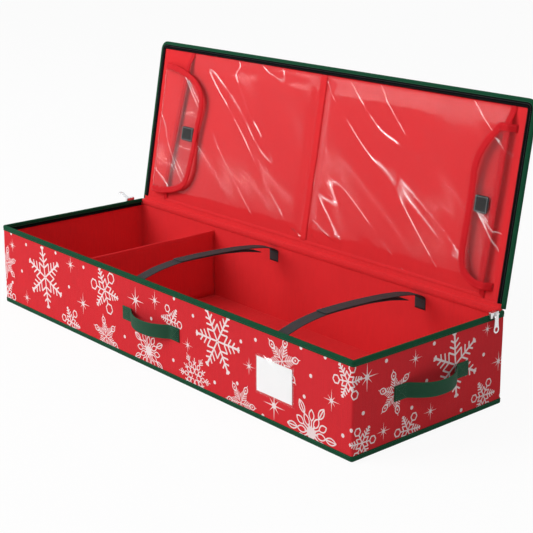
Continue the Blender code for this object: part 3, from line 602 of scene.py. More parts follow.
class Node:
    """A node, made by its kind or one that is there. node["label"] is what it gives."""

    def __init__(self, tree, kind, inputs=(), **settings):
        self.tree, self.node = tree, tree.nodes.new(kind) if isinstance(kind, str) else kind
        for name, value in settings.items():
            setattr(self.node, name, value)
        self.put(inputs)

    def put(self, inputs):
        """Sets inputs, by name or number, to a value or to what another node gives."""
        for label, value in dict(inputs).items():
            socket = self.node.inputs[label]
            if isinstance(value, Value):
                self.tree.links.new(value.socket, socket)
            else:
                socket.default_value = (*value[:3], 1.0) if socket.type == "RGBA" else value

    def __getitem__(self, label):
        return Value(self.tree, self.node.outputs[label])


def shader_group(make, outputs, **numbers):
    """A shader group that takes a Vector and these numbers. make(enter) returns what it gives."""
    tree = bpy.data.node_groups.new(make.__name__, "ShaderNodeTree")
    tree.interface.new_socket("Vector", in_out="INPUT", socket_type="NodeSocketVector")
    for label, default in numbers.items():
        tree.interface.new_socket(label, in_out="INPUT", socket_type="NodeSocketFloat").default_value = default
    for label in outputs:
        tree.interface.new_socket(label, in_out="OUTPUT", socket_type="NodeSocketFloat")
    Node(tree, "NodeGroupOutput", zip(outputs, make(Node(tree, "NodeGroupInput"))))


def noise_at(enter, scale, detail, roughness=0.5, distortion=0.0):
    settings = {"Detail": detail, "Roughness": roughness, "Distortion": distortion}
    return Node(enter.tree, "ShaderNodeTexNoise", {"Vector": enter["Vector"], "Scale": scale} | settings)["Fac"]


def arch(value):
    """The bulge of one thread after another."""
    return (value * pi).math("SINE").math("ABSOLUTE")


def plain_weave(enter):
    """Plain weave from cloth coordinates in metres: each thread passes over one and under the next."""
    place = Node(enter.tree, "ShaderNodeSeparateXYZ", {0: enter["Vector"]})
    u, v = place["X"] * enter["Threads"], place["Y"] * enter["Threads"]
    over = ((u.math("FLOOR") + v.math("FLOOR")) * 0.5).math("FRACT") * 2.0
    cell = Node(enter.tree, "ShaderNodeCombineXYZ", {0: u.math("FLOOR"), 1: (v * 0.04).math("FLOOR")})
    chance = Node(enter.tree, "ShaderNodeTexWhiteNoise", {"Vector": cell["Vector"]}, noise_dimensions="2D")
    return arch(u) * over + arch(v) * (1.0 - over), chance["Value"]


def webbing_ribs(enter):
    """Ribs along a webbing, crossed by fine picks, with a denser edge."""
    place = Node(enter.tree, "ShaderNodeSeparateXYZ", {0: enter["Vector"]})
    across = place["Y"] * enter["Ribs"]
    rib, pick = arch(across), arch(place["X"] * enter["Picks"] + across.math("FLOOR") * 0.5)
    return rib * 0.65 + pick * 0.35, rib


def uneven_tone(enter):
    """Uneven colour: broad soft patches and a fine speckle of fibre."""
    return noise_at(enter, enter["Patches"], 3.0, 0.55, 0.4), noise_at(enter, enter["Speckle"], 1.0)


def crease_lines(enter):
    """Thin crease lines, where a folded noise passes through its middle value."""
    swell = noise_at(enter, enter["Scale"], 1.5, 0.4, 0.3)
    edge = (1.0 - (swell - 0.5).math("ABSOLUTE") * enter["Sharpness"]).clamped()
    return edge * edge, swell


def tinted(colour, share):
    return tuple(min(c * share, 1.0) for c in colour[:3])


class Finish:
    """A material with its Principled shader, and the cloth and object coordinates."""

    def __init__(self, name, roughness, sheen=0.0, metallic=0.0, specular=0.5):
        self.material = bpy.data.materials.new(name)
        self.material.use_nodes = True
        self.tree = self.material.node_tree
        self.shader = self.there("Principled BSDF")
        self.shader.put({"Roughness": roughness, "Metallic": metallic, "Specular IOR Level": specular})
        self.shader.put({"Sheen Weight": sheen, "Sheen Roughness": 0.4})
        where = Node(self.tree, "ShaderNodeTexCoord")
        self.cloth, self.place = where["UV"], where["Object"]

    def there(self, name):
        return Node(self.tree, self.tree.nodes[name])

    def group(self, name, vector, **values):
        inputs = {"Vector": vector, **values}
        return Node(self.tree, "ShaderNodeGroup", inputs, node_tree=bpy.data.node_groups[name])

    def tone(self, **values):
        made = self.group("uneven_tone", self.place, **values)
        return made["Broad"], made["Fine"]

    def blend(self, share, first, second):
        """A colour mix by share."""
        return Node(self.tree, "ShaderNodeMix", {"Factor": share, 6: first, 7: second}, data_type="RGBA")[2]

    def worn(self, colour, pale):
        """The colour with its edges rubbed paler where the piece's wear attribute says so."""
        mark = Node(self.tree, "ShaderNodeAttribute", attribute_name="wear")
        return self.blend(mark["Fac"] * 0.35, colour, pale)

    def look(self, colour, rough=None, height=None, depth=0.0):
        """Gives the shader its colour, its roughness and the bump of its grain."""
        self.shader.put({"Base Color": colour})
        if rough:
            self.shader.put({"Roughness": rough})
        if height:
            grain = Node(self.tree, "ShaderNodeBump", {"Distance": depth, "Strength": 1.0, "Height": height})
            self.shader.put({"Normal": grain["Normal"]})

    def show(self, share, first, second, surface="Material Output"):
        """Shows a mix of two shaders."""
        both = Node(self.tree, "ShaderNodeMixShader", {0: share, 1: first[0], 2: second[0]})
        self.there(surface).put({"Surface": both[0]})


def cloth_finish(name, colour, threads, depth, roughness=0.85, sheen=0.15, under=None, specular=0.25):
    """Woven cloth. under is the colour that shows between the threads, as the cloth under a print does."""
    made = Finish(name, roughness, sheen, specular=specular)
    weave, (broad, fine) = made.group("plain_weave", made.cloth, Threads=threads), made.tone()
    share = (weave["Yarn"] * 0.35 + broad * 0.5).clamped()
    seen = made.blend(share, tinted(colour, 0.86), tinted(colour, 1.1))
    if under:
        thin = (1.0 - weave["Height"]).clamped() * 0.25 + fine * 0.12
        seen = made.blend(thin.clamped(), seen, under)
    rough = (fine * 0.12 + (roughness - 0.06)).clamped()
    made.look(made.worn(seen, tinted(colour, 1.5)), rough, weave["Height"] + fine * 0.4, depth)


def webbing_finish(name, colour, ribs, picks, depth):
    made = Finish(name, 0.8, specular=0.3)
    ridges, (broad, _) = made.group("webbing_ribs", made.cloth, Ribs=ribs, Picks=picks), made.tone(Patches=14.0)
    # Colour follows the ribs' height: darker down the grooves between ribs and picks (painted shade), with broad
    # patches of uneven tone
    share = (ridges["Height"] * 0.7 + broad * 0.4).clamped()
    seen = made.worn(made.blend(share, tinted(colour, 0.62), tinted(colour, 1.25)), tinted(colour, 1.7))
    made.look(seen, 0.88 - ridges["Rib"] * 0.12, ridges["Height"], depth)


def thread_finish(name, colour):
    made = Finish(name, 0.6, 0.2, specular=0.4)
    broad, fine = made.tone(Patches=400.0, Speckle=4000.0)
    made.look(made.blend(broad, tinted(colour, 0.7), tinted(colour, 1.3)), None, fine, 0.0001)


def film_finish(name, clearness):
    """Clear vinyl: it mirrors a little as any smooth film does, is hazy along its creases and casts no shadow."""
    made = Finish(name, 0.1, metallic=1.0)
    stretch = {"Vector": made.place, "Rotation": (0.0, radians(-50), 0.0), "Scale": (1.0, 1.0, 11.0)}
    drawn = Node(made.tree, "ShaderNodeMapping", stretch, vector_type="TEXTURE")
    lines = made.group("crease_lines", drawn[0], Scale=12.0, Sharpness=80.0)
    broad, _ = made.tone(Patches=12.0, Speckle=500.0)
    crease = lines["Line"] * ((broad - 0.42) * 8.0).clamped()
    colour = made.blend(broad, (0.93, 0.95, 0.97), (1.0, 1.0, 1.0))
    made.look(colour, broad * 0.08 + 0.07, lines["Swell"] * 0.5 + crease * 0.04, 0.004)
    glance = Node(made.tree, "ShaderNodeLayerWeight", {"Blend": 0.5})["Facing"]
    share = (glance.math("POWER", glance, 3.5) * 0.3 + crease * 0.2 + (1.0 - clearness)).clamped()
    lit = 1.0 - Node(made.tree, "ShaderNodeLightPath")["Is Shadow Ray"]
    clear = Node(made.tree, "ShaderNodeBsdfTransparent", {"Color": (0.992, 0.995, 0.995)})
    made.show(share * lit, clear, made.shader)


def pile_finish(name, colour):
    """Hook and loop tape: a dense short pile of bristles."""
    made = Finish(name, 0.95, 0.1, specular=0.15)
    bristle = Node(made.tree, "ShaderNodeTexVoronoi", {"Scale": 1100.0, "Vector": made.place})["Distance"]
    broad, _ = made.tone(Patches=90.0)
    # Colour follows the bristles' pattern: darker where the pile lies lower (painted shade between the bristles), with
    # broad patches of uneven tone
    seen = made.blend((bristle + broad * 0.3).clamped(), tinted(colour, 1.6), tinted(colour, 0.5))
    made.look(made.worn(seen, tinted(colour, 2.2)), None, bristle, -0.0006)


def nylon_finish(name, colour):
    made = Finish(name, 0.5, specular=0.15)
    broad, fine = made.tone(Patches=60.0)
    made.look(made.blend(broad, tinted(colour, 0.7), tinted(colour, 1.5)), fine * 0.2 + 0.45)


def metal_finish(name, colour):
    """Plated zinc: fine rubbing marks along it and a duller tone in patches."""
    made = Finish(name, 0.25, metallic=1.0)
    broad, fine = made.tone(Patches=130.0, Speckle=1800.0)
    rubbed = made.group("crease_lines", made.place, Scale=260.0, Sharpness=30.0)["Line"]
    rough = fine * 0.14 + rubbed * 0.04 + 0.2
    made.look(made.blend(broad, tinted(colour, 0.82), colour), rough, fine + rubbed * -0.12, 0.00004)


def paper_finish(name, colour, speckle, depth, roughness):
    made = Finish(name, roughness, specular=0.3)
    broad, fine = made.tone(Patches=30.0, Speckle=speckle)
    seen = made.blend((broad * 0.5 + fine * 0.5).clamped(), tinted(colour, 0.93), colour)
    made.look(seen, fine * 0.15 + (roughness - 0.08), fine, depth)


# What repeats along a line: stitches and zip teeth


def run_tree():
    """Geometry Nodes: a piece set at even steps along lines, square to them, made real."""
    tree = bpy.data.node_groups.new("run_of_pieces", "GeometryNodeTree")
    sockets = {
        "Geometry": "Geometry", "Piece": "Object", "Spacing": "Float", "Unevenness": "Float", "Finish": "Material",
    }
    for label, kind in sockets.items():
        tree.interface.new_socket(label, in_out="INPUT", socket_type=f"NodeSocket{kind}")
    tree.interface.new_socket("Geometry", in_out="OUTPUT", socket_type="NodeSocketGeometry")
    enter = Node(tree, "NodeGroupInput")
    curve = Node(tree, "GeometryNodeMeshToCurve", {0: enter["Geometry"]})
    even = Node(tree, "GeometryNodeResampleCurve", {"Curve": curve[0], "Length": enter["Spacing"]}, mode="LENGTH")
    up = Node(tree, "GeometryNodeInputNamedAttribute", {"Name": "up"}, data_type="FLOAT_VECTOR")["Attribute"]
    ways = {"Primary Axis": Node(tree, "GeometryNodeInputTangent")[0], "Secondary Axis": up}
    turn = Node(tree, "FunctionNodeAxesToRotation", ways, primary_axis="X", secondary_axis="Z")
    piece = Node(tree, "GeometryNodeObjectInfo", {"Object": enter["Piece"]})
    sizes = {2: 1.0 - enter["Unevenness"], 3: enter["Unevenness"] + 1.0, "Seed": 11}
    chance = Node(tree, "FunctionNodeRandomValue", sizes)
    placed = {"Points": even[0], "Instance": piece["Geometry"], "Rotation": turn[0], "Scale": chance[1]}
    real = Node(tree, "GeometryNodeRealizeInstances", {0: Node(tree, "GeometryNodeInstanceOnPoints", placed)[0]})
    finish = Node(tree, "GeometryNodeSetMaterial", {"Geometry": real[0], "Material": enter["Finish"]})
    Node(tree, "NodeGroupOutput", {0: finish[0]})
    return tree


def run_of(name, lines, piece, spacing, finish, body, slot, uneven=0.06, node=None):
    """Copies of a small mesh along lines. Each line is a list of (point, up), and the result is one plain mesh."""
    tree = bpy.data.node_groups.get("run_of_pieces") or run_tree()
    path = bpy.data.meshes.new(name + "_path")
    points, ups, edges = [], [], []
    for marks in lines:
        edges += [(len(points) + i, len(points) + i + 1) for i in range(len(marks) - 1)]
        points += [tuple(p) for p, _ in marks]
        ups += [c for _, u in marks for c in u]
    path.from_pydata(points, edges, [])
    path.attributes.new("up", "FLOAT_VECTOR", "POINT").data.foreach_set("vector", ups)
    guide, sample = linked(name + "_path", path), linked(name + "_piece", piece)
    step = guide.modifiers.new("run", "NODES")
    step.node_group = tree
    values = {"Piece": sample, "Spacing": spacing, "Unevenness": uneven, "Finish": bpy.data.materials[finish]}
    for item in tree.interface.items_tree:
        if item.in_out == "INPUT" and item.name in values:
            step[item.identifier] = values[item.name]
    mesh = evaluated(guide)
    if not mesh.polygons:
        raise RuntimeError(f"{name}: nothing was set along its lines")
    for obj in (guide, sample):
        bpy.data.objects.remove(obj, do_unlink=True)
    mesh.name = name
    shade(mesh)
    return dressed(linked(name, mesh), body, slot, node)


def tube(work, rings, loop=False):
    """Joins rings of points with faces, and closes the ends or the loop."""
    rings = [[work.verts.new(p) for p in points] for points in rings]
    for a, b in zip(rings, rings[1:] + rings[:1] if loop else rings[1:]):
        for m in range(len(a)):
            n = (m + 1) % len(a)
            work.faces.new((a[m], a[n], b[n], b[m]))
    if not loop:
        work.faces.new(rings[0][::-1])
        work.faces.new(rings[-1])


def finished(work, mesh):
    bmesh.ops.recalc_face_normals(work, faces=work.faces)
    work.to_mesh(mesh)
    work.free()
    return mesh


def stitch_mesh(length, radius):
    """One stitch along X: a short thread that dips at both ends."""
    work, rings = bmesh.new(), []
    for t in spread(-1, 1, 4):
        centre = Vector((t * length / 2, 0, radius * 0.9 * (1 - t * t) - radius * 0.4))
        rings.append(circle(centre, Y, Z, radius * (1.0 if abs(t) < 0.9 else 0.45), 6))
    tube(work, rings)
    return finished(work, bpy.data.meshes.new("stitch"))


def coil_mesh(wide, rise, wire):
    """One turn of a nylon zip coil along X: a wire bent over the tape, with the bulge that locks on its free side."""
    work, rings = bmesh.new(), []
    path = ((-0.5, 0.0), (-0.42, 0.62), (-0.1, 0.95), (0.25, 1.0), (0.5, 0.6), (0.46, 0.0))
    for k, (across, up) in enumerate(path):
        (ahead_y, ahead_z), (behind_y, behind_z) = path[min(k + 1, 5)], path[max(k - 1, 0)]
        run = Vector((0, (ahead_y - behind_y) * wide, (ahead_z - behind_z) * rise)).normalized()
        centre = Vector((wire * 0.35 * (k / 5 - 0.5), across * wide, up * (rise - wire / 2)))
        rings.append(circle(centre, X, X.cross(run), wire * (1.35 if k == 4 else 1.0) / 2, 5))
    tube(work, rings)
    return finished(work, bpy.data.meshes.new("coil_turn"))


def sew(name, lines, thread, body, slot):
    sizes = bpy.context.scene.organizer_sewing
    return run_of(name, lines, stitch_mesh(sizes.stitch, sizes.thread), sizes.pitch, thread, body, slot)


def seam(marks, z, inset, lift=0.0, side=1):
    """A line to sew round the wall: its points, and the way each faces."""
    return [(wall(u, z, inset, lift), around(u)[1] * side) for u in marks]


def on_lid(places, z, way=LID_IN):
    """A line to sew on the lid."""
    return [(lid(x, s, z), way) for x, s in places]


def shape_lines(corners, place):
    """A line to sew along each side of a shape. place(a, b) gives a point and the way it faces."""
    sides = zip(corners, corners[1:])
    return [[place(a, b), place((a + c) / 2, (b + d) / 2), place(c, d)] for (a, b), (c, d) in sides]


# The walls

FLAT_SPOTS = [(front_u(s * 0.072), HANDLE_Z, 0.02, 0.02) for s in (-1, 1)]
FLAT_SPOTS += [(f(s * 0.073), HANDLE_Z, 0.02, 0.02) for s in (-1, 1) for f in (left_u, right_u)]
FLAT_SPOTS += [(front_u(0.3365), 0.081, 0.05, 0.037)]
FOLDS = [front_u(-0.496), front_u(-0.193), front_u(0.149), right_u(0.003), left_u(0.003), back_u(-0.2), back_u(0.21)]


def wall_wave(u, z):
    """How far the printed cloth stands off the wall: slack between the tapes, old folds, flat under what is sewn on."""
    height = bpy.context.scene.organizer_cloth.slack
    free = eased(z, 0.009, 0.03) * eased(TOP - z, 0.009, 0.03)
    for spot_u, spot_z, half_u, half_z in FLAT_SPOTS:
        free *= eased(max(abs(u - spot_u) - half_u, abs(z - spot_z) - half_z, 0.0), 0.0, 0.02)
    wave = 0.35 + 0.9 * ripple(u * 5.2, z * 9, 1.3) + 0.35 * ripple(u * 15, z * 19, 7.7)
    dent = sum(exp(-(((u - fold - 0.002 * sin(z * 25)) / 0.0035) ** 2)) for fold in FOLDS)
    return max(height * free * (wave - 0.9 * dent), -0.0006)


def face_print(weight):
    """The whole print round the box: front, ends and back."""
    front, end = marks_of(FRONT_PRINT, FRONT_DOTS), marks_of(END_PRINT, END_DOTS)
    marks = [(kind, front_u(x), z, r, turn) for kind, x, z, r, turn in front]
    marks += [(kind, right_u(y), z, r, turn) for kind, y, z, r, turn in end]
    marks += [(kind, left_u(-y), z, r, turn if kind == "dot" else turn + 25) for kind, y, z, r, turn in end]
    for kind, x, z, r, turn in front:
        if abs(x) < 0.49:
            u = back_u(-x)
            marks.append((kind, u, z, r, turn))
            if u < r or u > ROUND - r:
                marks.append((kind, u + (ROUND if u < r else -ROUND), z, r, turn))
    return [shape for mark in marks for shape in stamp(*mark, weight)]


class ORGANIZER_OT_finishes(bpy.types.Operator):
    """Makes the shader groups and every material, and gives the boards, card and metal parts of the frame theirs"""

    bl_idname = "organizer.finishes"
    bl_label = "Finishes"

    def execute(self, context):
        colours = context.scene.organizer_colours
        shader_group(plain_weave, ("Height", "Yarn"), Threads=1400.0)
        shader_group(webbing_ribs, ("Height", "Rib"), Ribs=500.0, Picks=900.0)
        shader_group(uneven_tone, ("Broad", "Fine"), Patches=9.0, Speckle=900.0)
        shader_group(crease_lines, ("Line", "Swell"), Scale=8.0, Sharpness=40.0)
        red, green, tape, black = colours.red_cloth, colours.green_tape, colours.red_tape, colours.zip_black
        cloth_finish("print_cloth", red, 1500.0, 0.00022, sheen=0.01)
        cloth_finish("print_ink", colours.print_ink, 1500.0, 0.00018, roughness=0.75, sheen=0.05, under=red[:])
        cloth_finish("lining_cloth", colours.lining, 1300.0, 0.0002, sheen=0.02)
        cloth_finish("green_tape", green, 2000.0, 0.0002, roughness=0.78, sheen=0.0, specular=0.15)
        cloth_finish("red_tape", tape, 2000.0, 0.0002, roughness=0.65, sheen=0.03, specular=0.2)
        cloth_finish("zip_cloth", black, 2200.0, 0.0002, roughness=0.9, sheen=0.0, specular=0.06)
        webbing_finish("green_webbing", colours.green_webbing, 520.0, 700.0, 0.0004)
        webbing_finish("strap_webbing", colours.strap, 560.0, 800.0, 0.0004)
        thread_finish("green_thread", tinted(green, 1.5))
        thread_finish("red_thread", tinted(tape, 1.15))
        thread_finish("black_thread", tinted(colours.strap, 1.4))
        thread_finish("patch_thread", linear(158, 160, 162))
        thread_finish("web_thread", tinted(colours.green_webbing, 1.5))
        film_finish("clear_film", colours.clearness)
        pile_finish("hook_pile", colours.pile)
        nylon_finish("zip_nylon", black)
        metal_finish("plated_metal", linear(232, 232, 234))
        paper_finish("card_stock", linear(243, 243, 243), 700.0, 0.00005, 0.75)
        paper_finish("greyboard", linear(150, 145, 135), 350.0, 0.0003, 0.9)
        shown = {
            "greyboard": (*WALL_BOARDS, "bottom_board", "divider_board", "lid_board"),
            "card_stock": ("label_card",),
            "plated_metal": ("slider_left", "slider_right", "puller_left", "puller_right"),
        }
        for finish, nodes in shown.items():
            for node in nodes:
                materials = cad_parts[node].data.materials
                materials.clear()
                materials.append(bpy.data.materials[finish])
        return {"FINISHED"}


class ORGANIZER_OT_printed_walls(bpy.types.Operator):
    """Wraps the walls in one strip of printed cloth and covers the underside"""

    bl_idname = "organizer.printed_walls"
    bl_label = "Printed walls"

    def execute(self, context):
        weight = context.scene.organizer_cloth.print_weight
        low, high = 0.0012, TOP - 0.001

        def lay(u, v):
            return wall(u, v, WRAP, wall_wave(u, v))

        bars, rows = stations(0, ROUND, 0.0125)[1:-1], spread(low, high, 16)[1:-1]
        made = printed(oblong(0, low, ROUND, high), face_print(weight), lay, bars, rows)
        cloth = settle("wall_cloth", made, PRINTED, "base", outwards, "outer_wrap")
        declared(cloth, ROUND, high - low, rests_on=WALL_BOARDS)

        edge_x, edge_y = HALF_X - 0.0098, HALF_Y - 0.0098

        def lay_under(u, v):
            off = min(edge_x - abs(u), edge_y - abs(v))
            return Vector((u, -v, 0.0003 + 0.0004 * eased(off, 0.0, 0.03) * (0.5 + 0.5 * ripple(u * 9, v * 9, 3.0))))

        shapes = []
        for back in (0.0, 0.165):
            for kind, x, z, r, turn in marks_of(FRONT_PRINT):
                shapes += stamp(kind, x + 0.02, z - back, r, turn + 40, weight)
        bars, rows = spread(-edge_x, edge_x, 60)[1:-1], spread(-edge_y, edge_y, 20)[1:-1]
        made = printed(oblong(-edge_x, -edge_y, edge_x, edge_y), shapes, lay_under, bars, rows)
        under = settle("underside_cloth", made, PRINTED, "base", -Z, "base_cover")
        declared(under, 2 * edge_x, 2 * edge_y, rests_on=("bottom_board",))
        heights, ends = [0.012 + 0.0127 * k for k in range(11)], (0.004, ROUND - 0.004)
        lines = [[(wall(u, z, WRAP, wall_wave(u, z) + 0.0002), around(u)[1]) for z in heights] for u in ends]
        sew("wall_seam_stitches", lines, "red_thread", "base", "printed_red")
        return {"FINISHED"}


class ORGANIZER_OT_lining(bpy.types.Operator):
    """Lines the inside: walls, floor and the divider's folded cover"""

    bl_idname = "organizer.lining"
    bl_label = "Lining and divider"

    def execute(self, context):
        slack = context.scene.organizer_cloth.slack
        edge_x, edge_y = HALF_X - LINING, HALF_Y - LINING
        low, high = FLOOR - 0.0003, TOP - 0.001
        corners = (LEFT_START, FRONT_START, RIGHT_START, RIGHT_START + SIDES[3])

        def on_wall(u, z):
            free = eased(z, low, low + 0.03) * eased(high - z, 0.01, 0.03)
            free *= eased(min(abs(u - c) for c in corners), 0.008, 0.03)
            puff = slack * free * (0.5 + ripple(u * 6, z * 11, 5.0))
            return wall(u, z, LINING, -max(puff, 0.0)), (u, z), 0.0

        marks, rows = stations(0, ROUND, 0.02, 1), spread(low, high, 13)
        name, node = "wall_lining_cloth", "wall_lining"
        walls = sheet(name, marks, rows, on_wall, "lining_cloth", "base", inwards, node, weld=1e-5)
        declared(walls, 4 * (edge_x + edge_y), high - low, rests_on=WALL_BOARDS)

        def on_floor(x, y):
            off = min(edge_x - abs(x), edge_y - abs(y), abs(x - DIVIDER_X))
            lift = 0.0012 * eased(off, 0.004, 0.05) * max(ripple(x * 7, y * 9, 2.2) + 0.3, 0.0)
            return Vector((x, y, FLOOR + lift)), (x, y), 0.0

        xs, ys = spread(-edge_x, edge_x, 90), spread(-edge_y, edge_y, 32)
        cloth = sheet("floor_lining_cloth", xs, ys, on_floor, "lining_cloth", "base", Z, "bottom_lining")
        declared(cloth, 2 * edge_x, 2 * edge_y, rests_on=("bottom_board",))

        half, end = 0.002, edge_y - 0.0003
        rise = spread(FLOOR + 0.0003, DIVIDER_TOP - half + 0.0003, 10)
        bend = [(half * sin(a), DIVIDER_TOP - half + half * cos(a)) for a in (pi / 6 * k - pi / 2 for k in range(1, 6))]
        section = [(-half, z) for z in rise] + bend + [(half, z) for z in rise[::-1]]

        def on_divider(y, row):
            j, (x, z) = row
            free = eased(end - abs(y), 0.0, 0.03) * eased(z, FLOOR, FLOOR + 0.03)
            puff = 0.0009 * free * (0.6 + ripple(y * 16, z * 20, 9.0 + x * 900)) if abs(x) > 0.0015 else 0.0
            dip = -0.0012 * free * (0.5 + ripple(y * 9, 0.3, 6.0)) * eased(z, DIVIDER_TOP - 0.05, DIVIDER_TOP)
            spot = Vector((DIVIDER_X + x + (1 if x > 0 else -1) * max(puff, 0), y, z + dip))
            return spot, (y, j * 0.0145), eased(z, DIVIDER_TOP - 0.003, DIVIDER_TOP)

        def off_divider(p):
            return Vector((p.x - DIVIDER_X, 0, 0))

        ys, rows = spread(-end, end, 40), list(enumerate(section))
        name, node = "divider_cloth", "divider_cover"
        cover = sheet(name, ys, rows, on_divider, "lining_cloth", "base", off_divider, node, 0.0006)
        declared(cover, 2 * end, 2 * (DIVIDER_TOP - FLOOR), held="folded", rests_on=("divider_board",))
        lines = [[(Vector((DIVIDER_X + s * 0.0033, y, DIVIDER_TOP - 0.006)), X * s) for y in ys] for s in (-1, 1)]
        sew("divider_stitches", lines, "red_thread", "base", "lining_red")
        return {"FINISHED"}


def tape_round(name, marks, section, thick, node, out, seed, weld=0.0):
    """A folded green tape round the box."""
    rows = [(v, *point) for v, point in zip(lengths([p[:2] for p in section]), section)]

    def place(u, row):
        v, inset, z, wear = row
        puff = 0.00022 * ripple(u * 35, v * 120, seed)
        return wall(u, z + puff * 0.6, inset, abs(puff)), (u, v), wear

    return sheet(name, marks, rows, place, "green_tape", "base", out, node, thick, weld)


class ORGANIZER_OT_bindings(bpy.types.Operator):
    """Folds green tape over the rim, the base and the lid's edge, and sews it"""

    bl_idname = "organizer.bindings"
    bl_label = "Bindings"

    def execute(self, context):
        start, end = back_u(-0.5096), back_u(0.5096)
        rim, base = stations(start, end, TAPE_STEP), stations(0, ROUND, TAPE_STEP)
        edge = lid_stations(LID_BACK, TAPE_STEP)
        tape_round("rim_tape", rim, tenths(RIM_SECTION, up=TOP), 0.0006, "rim_binding", outwards, 2.0)
        tape_round("base_tape", base, tenths(BASE_SECTION), 0.0005, "base_binding", -Z, 5.0, weld=1e-5)

        def place(u, row):
            j, (inset, z, wear) = row
            puff = 0.0002 * ripple(u * 35, j * 0.7, 8.0)
            return lid(*lid_edge(u, inset), z + (puff if z > 0.003 else -puff)), (u, j * 0.0017), wear

        def out(p):
            return LID_IN * ((p - lid(0, 0, 0)).dot(LID_IN) + LID_THICK / 2)

        rows = list(enumerate(tenths(LID_SECTION)))
        sheet("lid_tape", edge, rows, place, "green_tape", "lid", out, "lid_binding", 0.0005)
        inner = stations(start, end, TAPE_STEP, 1)
        lines = [seam(rim, TOP - 0.0076, 0.0, -0.0002), seam(inner, TOP - 0.0066, RIM + 0.0001, -0.0002, -1)]
        sew("box_tape_stitches", lines + [seam(base, 0.0082, 0.0, 0.0003)], "green_thread", "base", "binding_green")
        places = [lid_edge(u, 0.0063) for u in edge]
        lines = [on_lid(places, -0.0003), on_lid(places, LID_THICK + 0.0004, -LID_IN)]
        sew("lid_tape_stitches", lines, "green_thread", "lid", "binding_green")
        return {"FINISHED"}


class ORGANIZER_OT_zip(bpy.types.Operator):
    """Lays both halves of the zip: a woven tape and a nylon coil on each"""

    bl_idname = "organizer.zip"
    bl_label = "Zip"

    def execute(self, context):
        def on_wall(u, row):
            j, (inset, z) = row
            return wall(u, z, inset, 0.00015 * ripple(u * 40, j, 3.0)), (u, j * 0.002), 0.0

        def on_edge(u, row):
            j, (inset, z) = row
            return lid(*lid_edge(u, inset), z + 0.0002 * ripple(u * 30, j, 6.0)), (u, j * 0.0022), 0.0

        rim, edge = stations(left_u(RIM_BACK_Y), right_u(RIM_BACK_Y), 0.012, 1), lid_stations(0.008, 0.01)
        rows = list(enumerate(tenths(BASE_ZIP, up=TOP)))
        sheet("base_zip_cloth", rim, rows, on_wall, "zip_cloth", "base", inwards, "base_zip_tape", 0.0005, 1e-6)
        self.teeth("base", seam(rim, TOP - 0.0124, 0.0063, side=-1))
        rows = list(enumerate(tenths(LID_ZIP)))
        sheet("lid_zip_cloth", edge, rows, on_edge, "zip_cloth", "lid", LID_IN, "lid_zip_tape", 0.0004)
        self.teeth("lid", on_lid([lid_edge(u, 0.0147) for u in edge], -0.0005))
        lines = [on_lid([lid_edge(u, 0.0098) for u in edge], -0.0008)]
        sew("lid_zip_stitches", lines, "black_thread", "lid", "zip_black")
        return {"FINISHED"}

    def teeth(self, body, run):
        pitch, turn = bpy.context.scene.organizer_sewing.coil_pitch, coil_mesh(COIL_WIDE, COIL_RISE, COIL_WIRE)
        run_of(f"{body}_zip_teeth", [run], turn, pitch, "zip_nylon", body, "zip_black", 0.02, f"{body}_zip_coil")


class ORGANIZER_OT_hinge(bpy.types.Operator):
    """Hangs the lid on the back wall with cloth inside and outside"""

    bl_idname = "organizer.hinge"
    bl_label = "Hinge cloth"

    def execute(self, context):
        section = tenths(HINGE_IN, HALF_Y - RIM, TOP)
        section += [lid(0, s, -0.0002)[1:] for s in (0.001, 0.002, 0.0035, 0.006, 0.0085)]
        half, way = HALF_X - RIM - 0.0003, Vector((0, -1, 0.3))
        low, high = (HALF_Y, TOP), (HALF_Y, TOP + 0.0025)
        self.cloth("hinge_cloth_inside", section, half, "lining_cloth", "hinge_lining", way, low, high)
        half, spine = HALF_X - 0.012, 0.0069
        section = tenths(HINGE_OUT, HALF_Y, TOP)
        section += [(HINGE_Y + spine * cos(a), HINGE_Z + spine * sin(a)) for a in spread(radians(-86), radians(-4), 8)]
        section += [lid(0, s, LID_THICK + 0.0006)[1:] for s in (0.002, 0.004, 0.008, 0.0115, 0.012)]
        low, high = (HINGE_Y, HINGE_Z - spine), (HINGE_Y + spine, HINGE_Z)
        self.cloth("hinge_cloth_outside", section, half, "print_cloth", "hinge_spine", Y, low, high)
        xs = spread(0.004 - half, half - 0.004, 80)
        line_low = [(Vector((x, HALF_Y + 0.0005, TOP - 0.0185)), Y) for x in xs]
        line_high = on_lid([(x, 0.0098) for x in xs], LID_THICK + 0.0009, -LID_IN)
        sew("hinge_stitches_low", [line_low], "red_thread", "base", "printed_red")
        sew("hinge_stitches_high", [line_high], "red_thread", "lid", "printed_red")
        return {"FINISHED"}

    def cloth(self, name, section, half, finish, node, way, start, end):
        along = lengths(section)
        puffed = 0.0005 * (1 if way.y > 0 else 0.4)

        def place(x, row):
            v, (y, z) = row
            puff = puffed * ripple(x * 26, v * 60, 3.3) * sin(pi * v / along[-1])
            return Vector((x, y + puff, z)), (x, v), 0.0

        rows = list(zip(along, section))
        obj = sheet(name, spread(-half, half, 100), rows, place, finish, None, way, node, 0.0005)
        solid = evaluated(obj)
        obj.modifiers.clear()
        obj.data = solid
        declared(obj, 2 * half, along[-1], held="hung", rests_on=("back_board",))
        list(start)
        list(end)
        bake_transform(obj)


def handle_line(span, patch, bow):
    """A handle's centre line in the plane of its bow: along it, and out from the face."""
    seat, half = 0.0003 + 0.0008, span / 2 - patch
    start = [(-span / 2, seat), (-half - 0.006, seat), (-half - 0.001, seat + 0.0003)]
    arch_points = [(x, seat + bow * (1 - abs(x / half) ** 2.2)) for x in spread(-half, half, 40)[1:-1]]
    return start + arch_points + [(-a, b) for a, b in start[::-1]]


def handle_lean(t):
    return 0.05 * sin(pi * t) * eased(0.5 - abs(t - 0.5), 0.12, 0.3)


